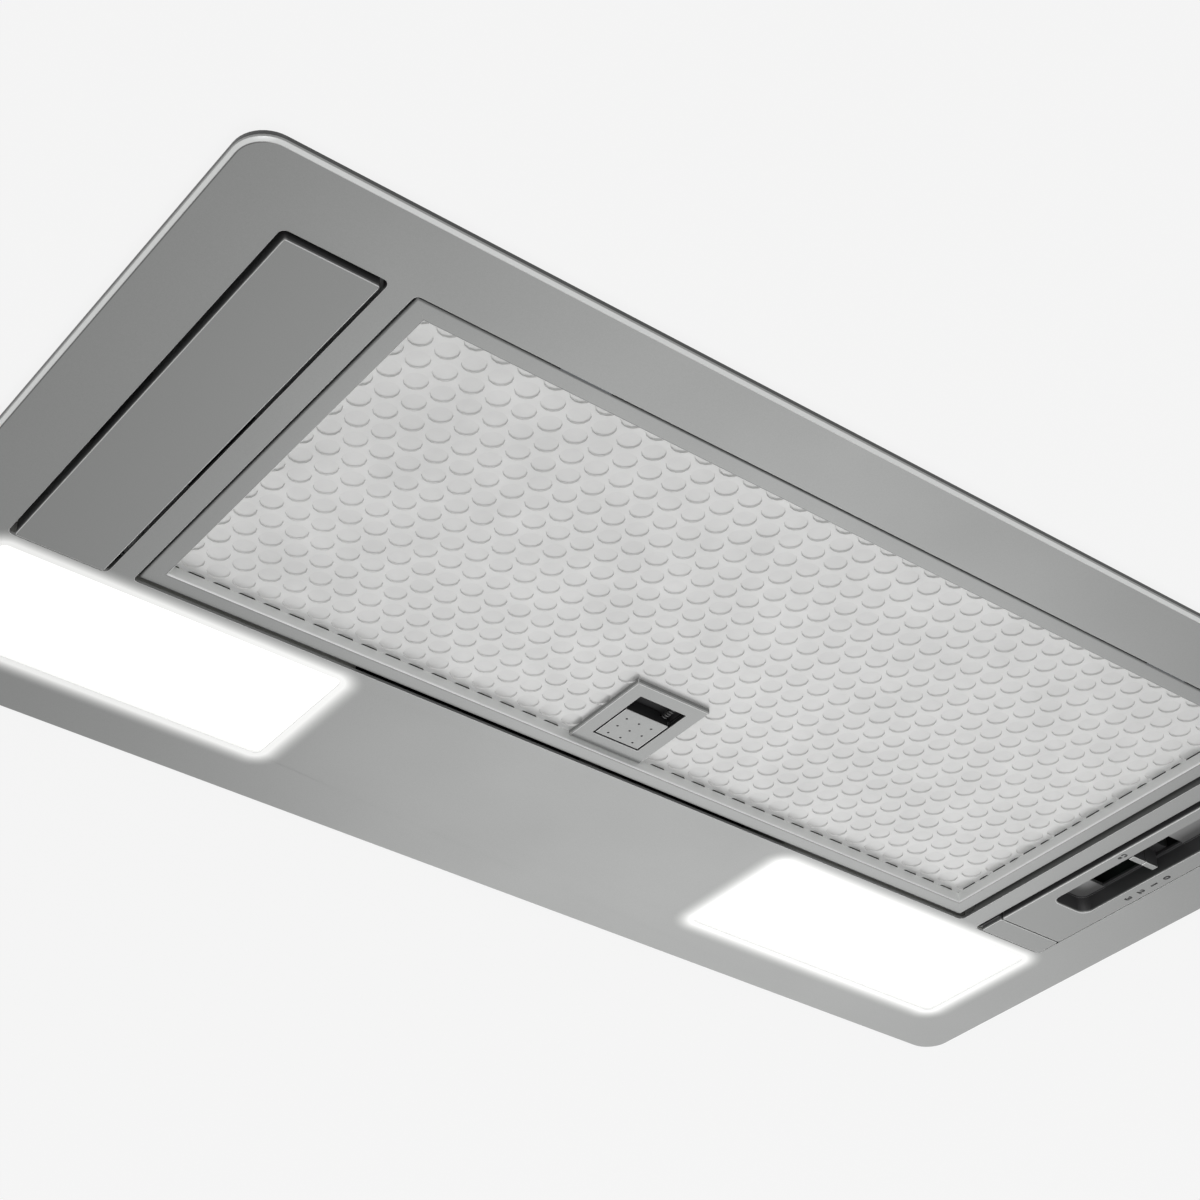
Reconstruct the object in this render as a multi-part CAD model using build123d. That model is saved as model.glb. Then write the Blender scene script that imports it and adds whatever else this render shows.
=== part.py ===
from build123d import *
import os
from math import acos, atan2, cos, degrees, radians, sin, sqrt

# A canopy range hood for the underside of a kitchen cabinet, in millimetres.
# X runs along the cabinet, -Y is the room side, +Y the wall side, +Z is up.
# z = 0 is the lowest face of the hood: the faces of the two strips beside the filter.

# ------------------------------------------------------------------ underside plate
plate_length = 534.0
plate_depth = 300.0
plate_corner_radius = 11.0
plate_sheet = 1.2
rim_height = 3.5            # from the plate's visible face to the top of its rim
rim_return = 5.0            # the rim is folded back inwards by this much
rim_bend_radius = 1.0
strip_proud = 1.4           # the strips stand this far below the plate's face

front_margin = 28.5         # plate edge to the three front openings
rear_margin = 29.5          # lamp openings to the plate's rear edge
side_margin = 26.8          # strip openings to the plate's ends
opening_corner_radius = 2.0
stiffener_height = 9.0      # upturned edges left and right of the filter opening

strip_opening_length = 37.2
strip_opening_extra = 1.7   # a strip opening is this much deeper than the filter opening
strip_web = 9.0             # sheet left between the filter opening and a strip opening
strip_corner_radius = 2.5

lamp_opening_length = 134.0
lamp_opening_depth = 59.5
lamp_side_margin = 28.5     # lamp openings to the plate's ends
lamp_web = 8.2              # sheet left between the filter opening and the lamps
lamp_corner_radius = 2.5

# ------------------------------------------------------------------ strips
strip_gap = 2.1             # all round a strip, to the edge of its opening
strip_wall = 1.6
strip_edge_radius = 1.0
strip_height = 10.0
strip_flange = 3.4          # flange past the opening's edge, high above the plate
end_strip_depth = 11.3
end_strip_seam = 0.6

trough_length = 18.7
trough_depth = 89.0
trough_rear_wall = 23.1     # control strip's rear edge to the trough
trough_corner_radius = 4.0
trough_floor = 7.5          # height of the trough's floor above the strip's face
trough_wall = 1.4
slot_depth = 42.5
slot_rear_margin = 12.9     # trough's rear wall to the slot in its floor
slot_side_margin = 1.2

# ------------------------------------------------------------------ slide switches
fin_width = 6.8
fin_thickness = 2.7
fin_recess = 1.4            # fin tip above the strip's face
fin_gap = 0.4               # between the light fin and the fan fin
fin_from_slot_front = 12.5
carriage_depth = 12.0
carriage_height = 6.0
carriage_clearance = 0.3
switch_wall = 1.5
switch_inside_depth = 56.0
switch_inside_height = 9.6
switch_board_thickness = 1.6

# ------------------------------------------------------------------ lamps
lens_gap = 0.5
lens_flange = 2.5
lens_thickness = 2.0
lens_drop = 0.6             # the lens reaches this far into the sheet's thickness
lens_corner_radius = 5.0
tray_wall = 1.2
tray_height = 22.0
tray_margin = 3.5           # tray outside, past the lamp opening
led_board_thickness = 1.6
led_columns = 6
led_rows = 2
led_size = 5.0
led_thickness = 1.0
driver_length = 90.0
driver_depth = 40.0
driver_height = 22.0

# ------------------------------------------------------------------ filter cassette
filter_side_gap = 1.7
filter_front_gap = 2.1
filter_rear_gap = 0.8
filter_recess = 1.57        # rail face above the plate's face
rail_width = 7.3
rail_height = 10.0
rail_sheet = 0.8
rail_lip = 4.5              # inner edge of a rail, which the mesh rests on
front_sheet_thickness = 0.6
mesh_pack_thickness = 3.3
back_sheet_thickness = 0.6
sheet_clearance = 0.5
back_window = 34.0
back_window_columns = 8
back_window_rows = 3

hook_width = 20.0
hook_spacing = 260.0
hook_thickness = 1.0
hook_reach = 5.5            # over the plate, past the opening's front edge
hook_inside = 6.5
hook_seat_gap = 0.3
hinge_range = 75.0

# ------------------------------------------------------------------ latch
latch_x = 1.5
latch_length = 33.3
latch_depth = 42.8
latch_proud = 2.07          # latch face below the mesh
window_length = 21.2
window_depth = 29.4
window_rear_margin = 6.9
latch_wall = 0.8
pocket_side = 0.6           # cavity past the window on each side
button_length = 19.6
button_depth = 18.9
button_rear_gap = 0.7
button_lip = 0.35           # button lips that keep it behind the window
button_height = 3.65
bolt_length = 12.0
bolt_thickness = 1.8
bolt_reach = 6.8            # past the cassette's inner edge
latch_travel = 6.0
spring_radius = 1.3
keeper_width = 10.0
keeper_sheet = 0.5
keeper_foot = 12.0
keeper_nose = 3.0           # under the bolt, past the rail's outer face
keeper_gap = 0.3
keeper_rivet_flats = 4.0

# ------------------------------------------------------------------ sheet-metal body
body_side_inset = 19.0      # body's end walls inside the plate's ends
body_inset = 20.0           # body's long walls inside the plate's long edges
body_height = 187.4
body_sheet = 0.8
body_foot = 6.5
body_top_flange = 12.0
cover_sheet = 1.2
swage_proud = 1.2
swage_length = 340.0
swage_height = 90.0
swage_corner = 12.0         # cut off at 45 degrees
stud_neck = 3.0             # square neck that keeps a stud from turning in its sheet
nut_flats = 5.5
nut_height = 2.4
stud_columns = 3
stud_pitch = 180.0
side_stud_pitch = 190.0
screw_flats = 2.8           # six-sided thread-forming shank
screw_head_flats = 5.5
screw_head_height = 1.8
screw_length = 5.0
hole_clearance = 0.05

# ------------------------------------------------------------------ blower
fan_room = 90.0             # body's front to the fan's shaft
fan_z = 110.0
scroll_width = 90.0
scroll_wall = 2.0
scroll_radius = 72.0        # first arc of the spiral, from the tongue to the front
scroll_step = 8.0           # each later arc is larger by this
outlet_depth = 64.0
scroll_ear = 7.0            # past the scroll's wall
scroll_ear_width = 12.0
scroll_ear_thickness = 3.0
outlet_flange = 15.0
outlet_flange_thickness = 3.0
inlet_radius = 44.0
inlet_ring_sheet = 1.5
inlet_ring_flange = 8.0     # past the opening, on each side of the square flange
inlet_ring_corner = 16.0
inlet_ring_throat = 5.0
inlet_ring_step = 3.0
inlet_ring_clearance = 0.3
impeller_radius = 60.0
impeller_inner_radius = 48.5
impeller_width = 74.0
impeller_offset = -1.0
impeller_sheet = 2.0
blade_count = 30
blade_thickness = 1.0
blade_curve = 11.0          # radius that each blade is bent to
hub_radius = 10.0
hub_length = 20.0
shaft_radius = 4.0

# ------------------------------------------------------------------ motor
motor_core = 84.0           # across the stacked core, which is square with cut corners
motor_core_corner = 14.0
motor_front_plate = 4.0
motor_cap_length = 16.0
stator_length = 34.0
stator_bore = 20.0
rotor_air_gap = 0.4
rotor_bars = 24             # cast bars, with one flat of the rotor for each
motor_wall = 2.5
motor_flange = 108.0
motor_plate_size = 112.0
motor_plate_edge = 10.0     # sheet edge to the corner screws
motor_plate_sheet = 1.5
shaft_hole_radius = 8.0     # through the scroll's side and the motor plate
bush_circle = 55.5
bush_flats = 12.0
bush_length = 3.5
bush_count = 4
motor_screw_flats = 3.8
motor_screw_head_flats = 7.0
motor_screw_head_height = 2.6
bearing_clearance = 0.05

# ------------------------------------------------------------------ outlet
duct_radius = 59.6
duct_length = 56.8
collar_wall = 2.0
collar_sheet = 2.0
collar_flange = 126.0
flap_axle_radius = 1.5
flap_axle_spacing = 10.0
flap_axle_height = 24.0
flap_saddle = 5.0
flap_bar = 6.0              # across the square bar that turns on the rod
flap_thickness = 1.4
flap_rim_gap = 1.2
flap_clearance = 0.06
flap_stop_size = 6.0
flap_stop_height = 1.2
flap_range = 75.0

# ------------------------------------------------------------------ electrics
terminal_box_length = 90.0
terminal_box_depth = 42.0
terminal_box_height = 54.0
terminal_box_margin = 18.0  # body's left end to the box
terminal_box_drop = 18.0    # body's top to the box's roof
terminal_box_wall = 2.0
terminal_block_length = 48.0
terminal_block_depth = 16.0
terminal_block_height = 18.0
terminal_pitch = 15.0
terminal_hole = 6.0
terminal_hole_depth = 8.0
gland_bore = 4.5
gland_radius = 8.0
gland_nut_flats = 22.0
gland_nut_height = 5.0
gland_dome_height = 9.0
capacitor_radius = 15.0
capacitor_length = 38.0
capacitor_x = -90.0
capacitor_z = 120.0
capacitor_stud_radius = 5.0
capacitor_stud_length = 4.0

# ------------------------------------------------------------------ cabinet clamps
cabinet_board = 18.0
clamp_sheet = 1.5
clamp_width = 40.0
clamp_height = 46.0
clamp_foot = 11.0
clamp_gap = 0.2
clamp_stud_neck = 4.0
clamp_slot_width = 4.6
clamp_nut_flats = 7.0
clamp_nut_height = 3.2
clamp_slot_length = 22.0
clamp_lower = 6.0           # travel down, to a thinner board
clamp_raise = 8.0           # travel up, to a thicker board

# ------------------------------------------------------------------ worked out from these
filter_opening_length = plate_length - 2 * (side_margin + strip_opening_length + strip_web)
filter_opening_depth = plate_depth - front_margin - lamp_web - lamp_opening_depth - rear_margin
strip_opening_depth = filter_opening_depth + strip_opening_extra
lamp_spacing = plate_length - 2 * (lamp_side_margin + lamp_opening_length)
body_length = plate_length - 2 * body_side_inset
body_depth = plate_depth - 2 * body_inset
fan_y = fan_room - body_depth / 2
terminal_box_x = terminal_box_margin + terminal_box_length / 2 - body_length / 2
face_z = strip_proud
plate_top = face_z + plate_sheet
rim_top = face_z + rim_height
front_edge = -plate_depth / 2 + front_margin
filter_rear_edge = front_edge + filter_opening_depth
strip_rear_edge = front_edge + strip_opening_depth
strip_inner_x = filter_opening_length / 2 + strip_web
strip_outer_x = strip_inner_x + strip_opening_length
lamp_inner_x = lamp_spacing / 2
lamp_outer_x = lamp_inner_x + lamp_opening_length
lamp_front_y = filter_rear_edge + lamp_web
lamp_rear_y = lamp_front_y + lamp_opening_depth
body_top = plate_top + body_height
cover_top = body_top + cover_sheet
terminal_box_z = body_top - terminal_box_drop - terminal_box_height
body_inner_y = body_depth / 2 - body_sheet

cassette_x = filter_opening_length / 2 - filter_side_gap
cassette_front = front_edge + filter_front_gap
cassette_rear = filter_rear_edge - filter_rear_gap
cassette_z = face_z + filter_recess
mesh_z = cassette_z + rail_lip
mesh_pack_z = mesh_z + front_sheet_thickness
back_sheet_z = mesh_pack_z + mesh_pack_thickness
cassette_top = cassette_z + rail_height

latch_face_z = mesh_z - latch_proud
latch_rear = cassette_rear - rail_width
latch_front = latch_rear - latch_depth
window_rear = latch_rear - window_rear_margin
window_front = window_rear - window_depth
pocket_top = cassette_top - rail_sheet - latch_wall
button_rear = window_rear - button_rear_gap
button_front = button_rear - button_depth
button_face_z = latch_face_z + 0.15
button_top = button_face_z + button_height
bolt_z = button_top
bolt_tip = latch_rear + bolt_reach

control_front = front_edge + strip_gap
control_rear = strip_rear_edge - strip_gap - end_strip_depth - end_strip_seam
strip_x0 = strip_inner_x + strip_gap
strip_x1 = strip_outer_x - strip_gap
strip_mid_x = (strip_x0 + strip_x1) / 2
trough_x0 = strip_mid_x - trough_length / 2 - 1.2
trough_x1 = trough_x0 + trough_length
trough_rear = control_rear - trough_rear_wall
trough_front = trough_rear - trough_depth
slot_rear = trough_rear - slot_rear_margin
slot_front = slot_rear - slot_depth
trough_mid_x = (trough_x0 + trough_x1) / 2
fin_front = slot_front + fin_from_slot_front
switch_floor = trough_floor + trough_wall

outlet_mid_y = fan_y + scroll_step / 2 + scroll_radius + 2 * scroll_step - outlet_depth / 2
collar_z = cover_top + collar_sheet
duct_top = collar_z + duct_length
duct_bore = duct_radius - collar_wall
scroll_half = scroll_width / 2
motor_x0 = scroll_half + motor_plate_sheet + bush_length


# ------------------------------------------------------------------ helpers
def slab(xs, ys, zs, radius=0.0):
    """A flat block between two X, two Y and two Z values, its upright edges rounded."""
    width = xs[1] - xs[0]
    depth = ys[1] - ys[0]
    plan = RectangleRounded(width, depth, radius) if radius > 0 else Rectangle(width, depth)
    return Pos((xs[0] + xs[1]) / 2, (ys[0] + ys[1]) / 2, zs[0]) * extrude(plan, zs[1] - zs[0])


def centred(half):
    return (-half, half)


def grown(span, by):
    return (span[0] - by, span[1] + by)


def across(x, y=0.0, z=0.0):
    """A plane square to the fan's shaft: its own X is the hood's Y, its own Y the hood's Z."""
    return Plane(origin=(x, y, z), x_dir=(0, 1, 0), z_dir=(1, 0, 0))


def disc_x(radius, xs, y, z):
    """A cylinder along X."""
    return across(xs[0], y, z) * extrude(Circle(radius), xs[1] - xs[0])


def disc_z(radius, x, y, zs):
    """An upright cylinder."""
    return Pos(x, y, zs[0]) * extrude(Circle(radius), zs[1] - zs[0])


def hexagon(across_flats):
    return RegularPolygon(across_flats / 2, 6, major_radius=False)


def hex_z(across_flats, x, y, zs):
    """An upright hexagonal prism."""
    return Pos(x, y, zs[0]) * extrude(hexagon(across_flats), zs[1] - zs[0])


def hex_x(across_flats, xs, y, z):
    """A hexagonal prism along X."""
    return across(xs[0], y, z) * extrude(hexagon(across_flats), xs[1] - xs[0])


def cut_rectangle(width, height, corner):
    """A rectangle with its corners cut off at 45 degrees."""
    return chamfer(Rectangle(width, height).vertices(), corner)


def mirrored(solid):
    return mirror(solid, about=Plane.YZ)


def turned_about_x(points, x_axis_y, x_axis_z):
    """A turned solid round an axis along X, from (x, radius) corners."""
    outline = make_face(Polyline(*[(x, r) for x, r in points], close=True))
    ring = revolve(outline, Axis.X)
    return Pos(0, x_axis_y, x_axis_z) * ring


def group(solids):
    """Separate solids that share one node."""
    return Compound(children=[s.solid() if isinstance(s, Part) else s for s in solids])


# ------------------------------------------------------------------ underside plate
def strip_opening(side):
    xs = (strip_inner_x, strip_outer_x) if side > 0 else (-strip_outer_x, -strip_inner_x)
    return xs, (front_edge, strip_rear_edge)


def lamp_opening(side):
    xs = (lamp_inner_x, lamp_outer_x) if side > 0 else (-lamp_outer_x, -lamp_inner_x)
    return xs, (lamp_front_y, lamp_rear_y)


def make_underside_plate():
    """A pressed sheet tray: rounded rim, folded back inwards, with five openings."""
    half_x = plate_length / 2
    half_y = plate_depth / 2
    plate = slab(centred(half_x), centred(half_y), (face_z, rim_top), plate_corner_radius)
    lowest_edges = plate.faces().sort_by(Axis.Z)[0].edges()
    plate = chamfer(lowest_edges, rim_bend_radius)
    wall_x = half_x - plate_sheet
    wall_y = half_y - plate_sheet
    inner_radius = plate_corner_radius - plate_sheet
    plate -= slab(centred(wall_x), centred(wall_y), (plate_top, rim_top - plate_sheet), inner_radius)
    mouth_radius = max(inner_radius - rim_return, 1.0)
    plate -= slab(centred(wall_x - rim_return), centred(wall_y - rim_return),
                  (plate_top, rim_top), mouth_radius)
    through = (face_z - 1, plate_top + 1)
    plate -= slab(centred(filter_opening_length / 2), (front_edge, filter_rear_edge), through,
                  opening_corner_radius)
    for side in (-1, 1):
        plate -= slab(*strip_opening(side), through, strip_corner_radius)
        plate -= slab(*lamp_opening(side), through, lamp_corner_radius)
        edge = side * filter_opening_length / 2
        xs = sorted((edge, edge + side * plate_sheet))
        ys = (front_edge + 4 * opening_corner_radius, filter_rear_edge - 4 * opening_corner_radius)
        plate += slab(xs, ys, (face_z, plate_top + stiffener_height))
    return plate


def stud_places():
    """Where the body's foot is held to the plate: along both long sides and both ends."""
    line_y = body_depth / 2 + body_foot / 2
    line_x = body_length / 2 + body_foot / 2
    places = []
    for side in (-1, 1):
        for column in range(stud_columns):
            x = (column - (stud_columns - 1) / 2) * stud_pitch
            places.append((x, side * line_y))
        for end in (-1, 1):
            places.append((side * line_x, end * side_stud_pitch / 2))
    return places


def make_plate_studs():
    """Welded studs whose square necks fill the holes in the body's foot."""
    half = stud_neck / 2
    zs = (plate_top, plate_top + body_sheet)
    return group([slab((x - half, x + half), (y - half, y + half), zs) for x, y in stud_places()])


def make_plate_nuts():
    """Cap nuts on the studs."""
    low = plate_top + body_sheet
    return group([hex_z(nut_flats, x, y, (low, low + nut_height)) for x, y in stud_places()])


# ------------------------------------------------------------------ strips
def strip_tray(xs, ys, flange_front, flange_rear):
    """A moulded tray that shows its face through the plate and stands on the plate's back.

    The flange lies above the plate and rests on it with a foot at each end of each long side.
    """
    tray = slab(xs, ys, (0, strip_height), strip_edge_radius)
    tray -= slab(grown(xs, -strip_wall), grown(ys, -strip_wall), (strip_wall, strip_height))
    flange_xs = grown(xs, strip_gap + strip_flange)
    flange_ys = (ys[0] - flange_front, ys[1] + flange_rear)
    flange = slab(flange_xs, flange_ys, (strip_height - strip_wall, strip_height))
    flange -= slab(grown(xs, -strip_wall), grown(ys, -strip_wall), (0, strip_height))
    tray += flange
    foot_depth = min(2 * strip_flange, (flange_ys[1] - flange_ys[0]) / 2)
    foot_thickness = strip_flange - 0.4
    x0, x1 = flange_xs
    y0, y1 = flange_ys
    both_ends = ((x0, x0 + foot_thickness), (x1 - foot_thickness, x1))
    both_sides = ((y0, y0 + foot_depth), (y1 - foot_depth, y1))
    for foot_x in both_ends:
        for foot_y in both_sides:
            tray += slab(foot_x, foot_y, (plate_top, strip_height - strip_wall / 2))
    return tray


def make_blank_strip():
    ys = (front_edge + strip_gap, strip_rear_edge - strip_gap)
    reach = strip_gap + strip_flange / 2
    return strip_tray((-strip_x1, -strip_x0), ys, reach, reach)


def make_end_strip():
    ys = (control_rear + end_strip_seam, strip_rear_edge - strip_gap)
    strip = strip_tray((strip_x0, strip_x1), ys, 0.0, strip_gap + strip_flange / 2)
    key = slab((strip_x0 - strip_gap / 2, strip_x0), ys, (strip_proud, plate_top))
    return strip + key


def make_control_strip():
    """The strip that holds the switches: a deep trough with a slot in its floor."""
    reach = strip_gap + strip_flange / 2
    strip = strip_tray((strip_x0, strip_x1), (control_front, control_rear), reach, 0.0)
    xs = (trough_x0, trough_x1)
    ys = (trough_front, trough_rear)
    outside = slab(grown(xs, trough_wall), grown(ys, trough_wall), (0, switch_floor))
    strip += outside
    strip -= slab(xs, ys, (-1, trough_floor), trough_corner_radius)
    slot_xs = grown(xs, -slot_side_margin)
    strip -= slab(slot_xs, (slot_front, slot_rear), (0, switch_floor + 1))
    for y in (slot_front - switch_inside_depth / 8, slot_rear + switch_inside_depth / 8):
        post_y = (y - trough_wall, y + trough_wall)
        strip += slab((trough_x1, trough_x1 + trough_wall), post_y, (strip_wall / 2, switch_floor))
    return strip


# ------------------------------------------------------------------ slide switches
switch_xs = (trough_x0 - 0.4, trough_x1 + 0.4)
switch_mid_y = (slot_front + slot_rear) / 2
switch_ys = (switch_mid_y - switch_inside_depth / 2, switch_mid_y + switch_inside_depth / 2)
switch_top = switch_floor + switch_inside_height


def make_switch_housing():
    """The closed box over the slot in which the two carriages run."""
    box = slab(grown(switch_xs, switch_wall), grown(switch_ys, switch_wall),
               (switch_floor, switch_top + switch_wall))
    box -= slab(switch_xs, switch_ys, (switch_floor, switch_top))
    return box


def make_switch_board():
    clearance = carriage_clearance
    return slab(grown(switch_xs, -clearance), grown(switch_ys, -clearance),
                (switch_top - switch_board_thickness, switch_top))


def slider(x0, x1, carriage_x0, carriage_x1):
    """A fin that hangs through the slot from a carriage above it."""
    fin_ys = (fin_front, fin_front + fin_thickness)
    low = switch_floor + carriage_clearance
    fin = slab((x0, x1), fin_ys, (fin_recess, low + carriage_height / 2))
    mid_y = fin_front + fin_thickness / 2
    carriage_ys = (mid_y - carriage_depth / 2, mid_y + carriage_depth / 2)
    return fin + slab((carriage_x0, carriage_x1), carriage_ys, (low, low + carriage_height))


def make_light_slider():
    right = trough_mid_x - fin_gap / 2
    return slider(right - fin_width, right, switch_xs[0] + carriage_clearance, right)


def make_fan_slider():
    left = trough_mid_x + fin_gap / 2
    return slider(left, left + fin_width, left, switch_xs[1] - carriage_clearance)


# ------------------------------------------------------------------ lamps
def make_lamp_lens():
    """The opal lens: its edge rests on the plate, its middle stands in the opening."""
    xs, ys = lamp_opening(1)
    lens = slab(grown(xs, lens_flange), grown(ys, lens_flange), (plate_top, plate_top + lens_thickness))
    boss_zs = (plate_top - lens_drop, plate_top + lens_thickness)
    boss = slab(grown(xs, -lens_gap), grown(ys, -lens_gap), boss_zs, lens_corner_radius)
    return lens + boss


def tray_span():
    xs, ys = lamp_opening(1)
    return grown(xs, tray_margin), grown(ys, tray_margin)


tray_z0 = plate_top + lens_thickness
tray_z1 = tray_z0 + tray_height


def make_lamp_tray():
    """The white tray over a lens, standing on the plate round the lens's edge."""
    xs, ys = tray_span()
    tray = slab(xs, ys, (plate_top, tray_z1))
    opening_xs, opening_ys = lamp_opening(1)
    ledge_z = tray_z0 + tray_wall
    lens_room = slab(grown(opening_xs, lens_flange + 0.1), grown(opening_ys, lens_flange + 0.1),
                     (plate_top, tray_z0))
    mouth = slab(grown(opening_xs, lens_flange - tray_wall), grown(opening_ys, lens_flange - tray_wall),
                 (tray_z0, ledge_z))
    inside = slab(grown(xs, -tray_wall), grown(ys, -tray_wall), (ledge_z, tray_z1 - tray_wall))
    return tray - lens_room - mouth - inside


def make_led_board():
    """A board under the tray's roof, with its rows of small square lamps."""
    xs, ys = lamp_opening(1)
    ceiling = tray_z1 - tray_wall
    board = slab(grown(xs, -2 * tray_wall), grown(ys, -2 * tray_wall),
                 (ceiling - led_board_thickness, ceiling))
    mid_x = (xs[0] + xs[1]) / 2
    mid_y = (ys[0] + ys[1]) / 2
    pitch_x = (xs[1] - xs[0]) / led_columns
    pitch_y = (ys[1] - ys[0]) / led_rows
    low = ceiling - led_board_thickness - led_thickness
    for column in range(led_columns):
        for row in range(led_rows):
            x = mid_x + (column - (led_columns - 1) / 2) * pitch_x
            y = mid_y + (row - (led_rows - 1) / 2) * pitch_y
            half = led_size / 2
            board += slab((x - half, x + half), (y - half, y + half), (low, low + led_thickness))
    return board


def make_lamp_driver():
    """The lamps' power supply, standing on the right-hand lamp tray."""
    xs, ys = tray_span()
    mid_x = (xs[0] + xs[1]) / 2
    mid_y = (ys[0] + ys[1]) / 2
    half_x = driver_length / 2
    half_y = driver_depth / 2
    return slab((mid_x - half_x, mid_x + half_x), (mid_y - half_y, mid_y + half_y),
                (tray_z1, tray_z1 + driver_height))


# ------------------------------------------------------------------ filter cassette
def make_rail(length):
    """A folded rail with mitred ends: its outer face on Y = 0, the cassette towards +Y.

    Its inner edge turns up to a lip that carries the mesh, and its top edge holds it down.
    """
    w = rail_width
    h = rail_height
    t = rail_sheet
    corners = [(0, 0), (w, 0), (w, rail_lip), (w - t, rail_lip), (w - t, t), (t, t),
               (t, h - t), (w, h - t), (w, h), (0, h)]
    section = make_face(Polyline(*corners, close=True))
    lower = section.vertices().group_by(Axis.Y)[0]
    section = fillet(lower, t * 0.9)
    bar = across(-length / 2) * extrude(section, length)
    half = length / 2
    mitre = make_face(Polyline((-half, 0), (half, 0), (half - w, w), (w - half, w), close=True))
    return bar & extrude(mitre, h)


cassette_length = 2 * cassette_x
cassette_depth = cassette_rear - cassette_front
cassette_mid_y = (cassette_front + cassette_rear) / 2


def make_front_rail():
    """The room-side rail, slotted for the two hooks."""
    rail = Pos(0, cassette_front, cassette_z) * make_rail(cassette_length)
    slot_zs = (cassette_z + rail_sheet, cassette_z + rail_sheet + hook_thickness + 0.05)
    for x in (-hook_spacing / 2, hook_spacing / 2):
        xs = (x - hook_width / 2 - 0.1, x + hook_width / 2 + 0.1)
        rail -= slab(xs, (cassette_front - 1, cassette_front + rail_sheet), slot_zs)
    return rail


def make_rear_rail():
    """The wall-side rail, notched for the bolt and the keeper's nose."""
    rail = Pos(0, cassette_rear, cassette_z) * Rot(0, 0, 180) * make_rail(cassette_length)
    half = keeper_width / 2 + 2.0
    notch_zs = (bolt_z - keeper_gap - keeper_sheet - 0.8, cassette_top + 1)
    rail -= slab((latch_x - half, latch_x + half), (latch_rear - 1, cassette_rear + 1), notch_zs)
    return rail


def make_side_rail(side):
    turn = 90 if side > 0 else -90
    return Pos(side * cassette_x, cassette_mid_y, cassette_z) * Rot(0, 0, turn) * make_rail(cassette_depth)


def sheet_in_rails(z, thickness):
    """A sheet held in the rails, cut out for the latch body and its bolt."""
    inset = rail_sheet + sheet_clearance
    sheet_ys = (cassette_front + inset, cassette_rear - inset)
    sheet = slab(centred(cassette_x - inset), sheet_ys, (z, z + thickness))
    through = (z - 1, z + thickness + 1)
    xs = (latch_x - latch_body_half - 0.3, latch_x + latch_body_half + 0.3)
    sheet -= slab(xs, (latch_body_front - 0.3, latch_rear + 0.3), through)
    bolt_half = keeper_width / 2 + 2.0
    sheet -= slab((latch_x - bolt_half, latch_x + bolt_half), (latch_rear, cassette_rear), through)
    return sheet


latch_body_half = window_length / 2 + pocket_side + 2 * latch_wall
latch_body_front = window_front - 2.0 - latch_wall


def make_filter_front_sheet():
    return sheet_in_rails(mesh_z, front_sheet_thickness)


def make_filter_mesh_pack():
    return sheet_in_rails(mesh_pack_z, mesh_pack_thickness)


def make_filter_back_sheet():
    """The back sheet, pierced with square windows for the air."""
    sheet = sheet_in_rails(back_sheet_z, back_sheet_thickness)
    free_x = cassette_length - 2 * rail_width
    free_y = cassette_depth - 2 * rail_width
    pitch_x = free_x / back_window_columns
    pitch_y = free_y / back_window_rows
    half = back_window / 2
    latch_reach = latch_body_half + half + 2
    for column in range(back_window_columns):
        for row in range(back_window_rows):
            x = (column - (back_window_columns - 1) / 2) * pitch_x
            y = cassette_mid_y + (row - (back_window_rows - 1) / 2) * pitch_y
            beside_latch = abs(x - latch_x) < latch_reach and y + half > latch_body_front - 2
            if not beside_latch:
                sheet -= slab((x - half, x + half), (y - half, y + half), (back_sheet_z - 1, cassette_top))
    return sheet


def make_filter_hooks():
    """Two joggled hooks in the front rail that lie on the plate and let the cassette tip down."""
    inside_z = cassette_z + rail_sheet
    seat_z = plate_top + hook_seat_gap
    t = hook_thickness
    front = front_edge - hook_reach
    knee = cassette_front
    end = knee + hook_inside
    corners = [(front, seat_z), (knee, seat_z), (knee, inside_z), (end, inside_z),
               (end, inside_z + t), (knee - t, inside_z + t), (knee - t, seat_z + t), (front, seat_z + t)]
    hooks = []
    for x in (-hook_spacing / 2, hook_spacing / 2):
        profile = make_face(Polyline(*corners, close=True))
        hooks.append(across(x - hook_width / 2) * extrude(profile, hook_width))
    return group(hooks)


# ------------------------------------------------------------------ latch
def make_latch_housing():
    """The latch plate below the mesh, with its window, and the pocket behind it."""
    half = latch_length / 2
    plate = slab((latch_x - half, latch_x + half), (latch_front, latch_rear), (latch_face_z, mesh_z))
    plate = chamfer(plate.faces().sort_by(Axis.Z)[0].edges(), 0.3)
    body_ys = (latch_body_front, latch_rear)
    body_xs = (latch_x - latch_body_half, latch_x + latch_body_half)
    housing = plate + slab(body_xs, body_ys, (mesh_z, pocket_top + latch_wall))
    pocket_half = latch_body_half - 2 * latch_wall
    pocket_xs = (latch_x - pocket_half, latch_x + pocket_half)
    housing -= slab(pocket_xs, (latch_body_front + latch_wall, latch_rear - 1.2), (mesh_z, pocket_top))
    window_xs = (latch_x - window_length / 2, latch_x + window_length / 2)
    housing -= slab(window_xs, (window_front, window_rear), (latch_face_z - 1, mesh_z + 0.5))
    bolt_half = bolt_length / 2 + 0.2
    housing -= slab((latch_x - bolt_half, latch_x + bolt_half), (latch_rear - 2, latch_rear + 1),
                    (bolt_z - 0.15, pocket_top))
    return housing


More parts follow.
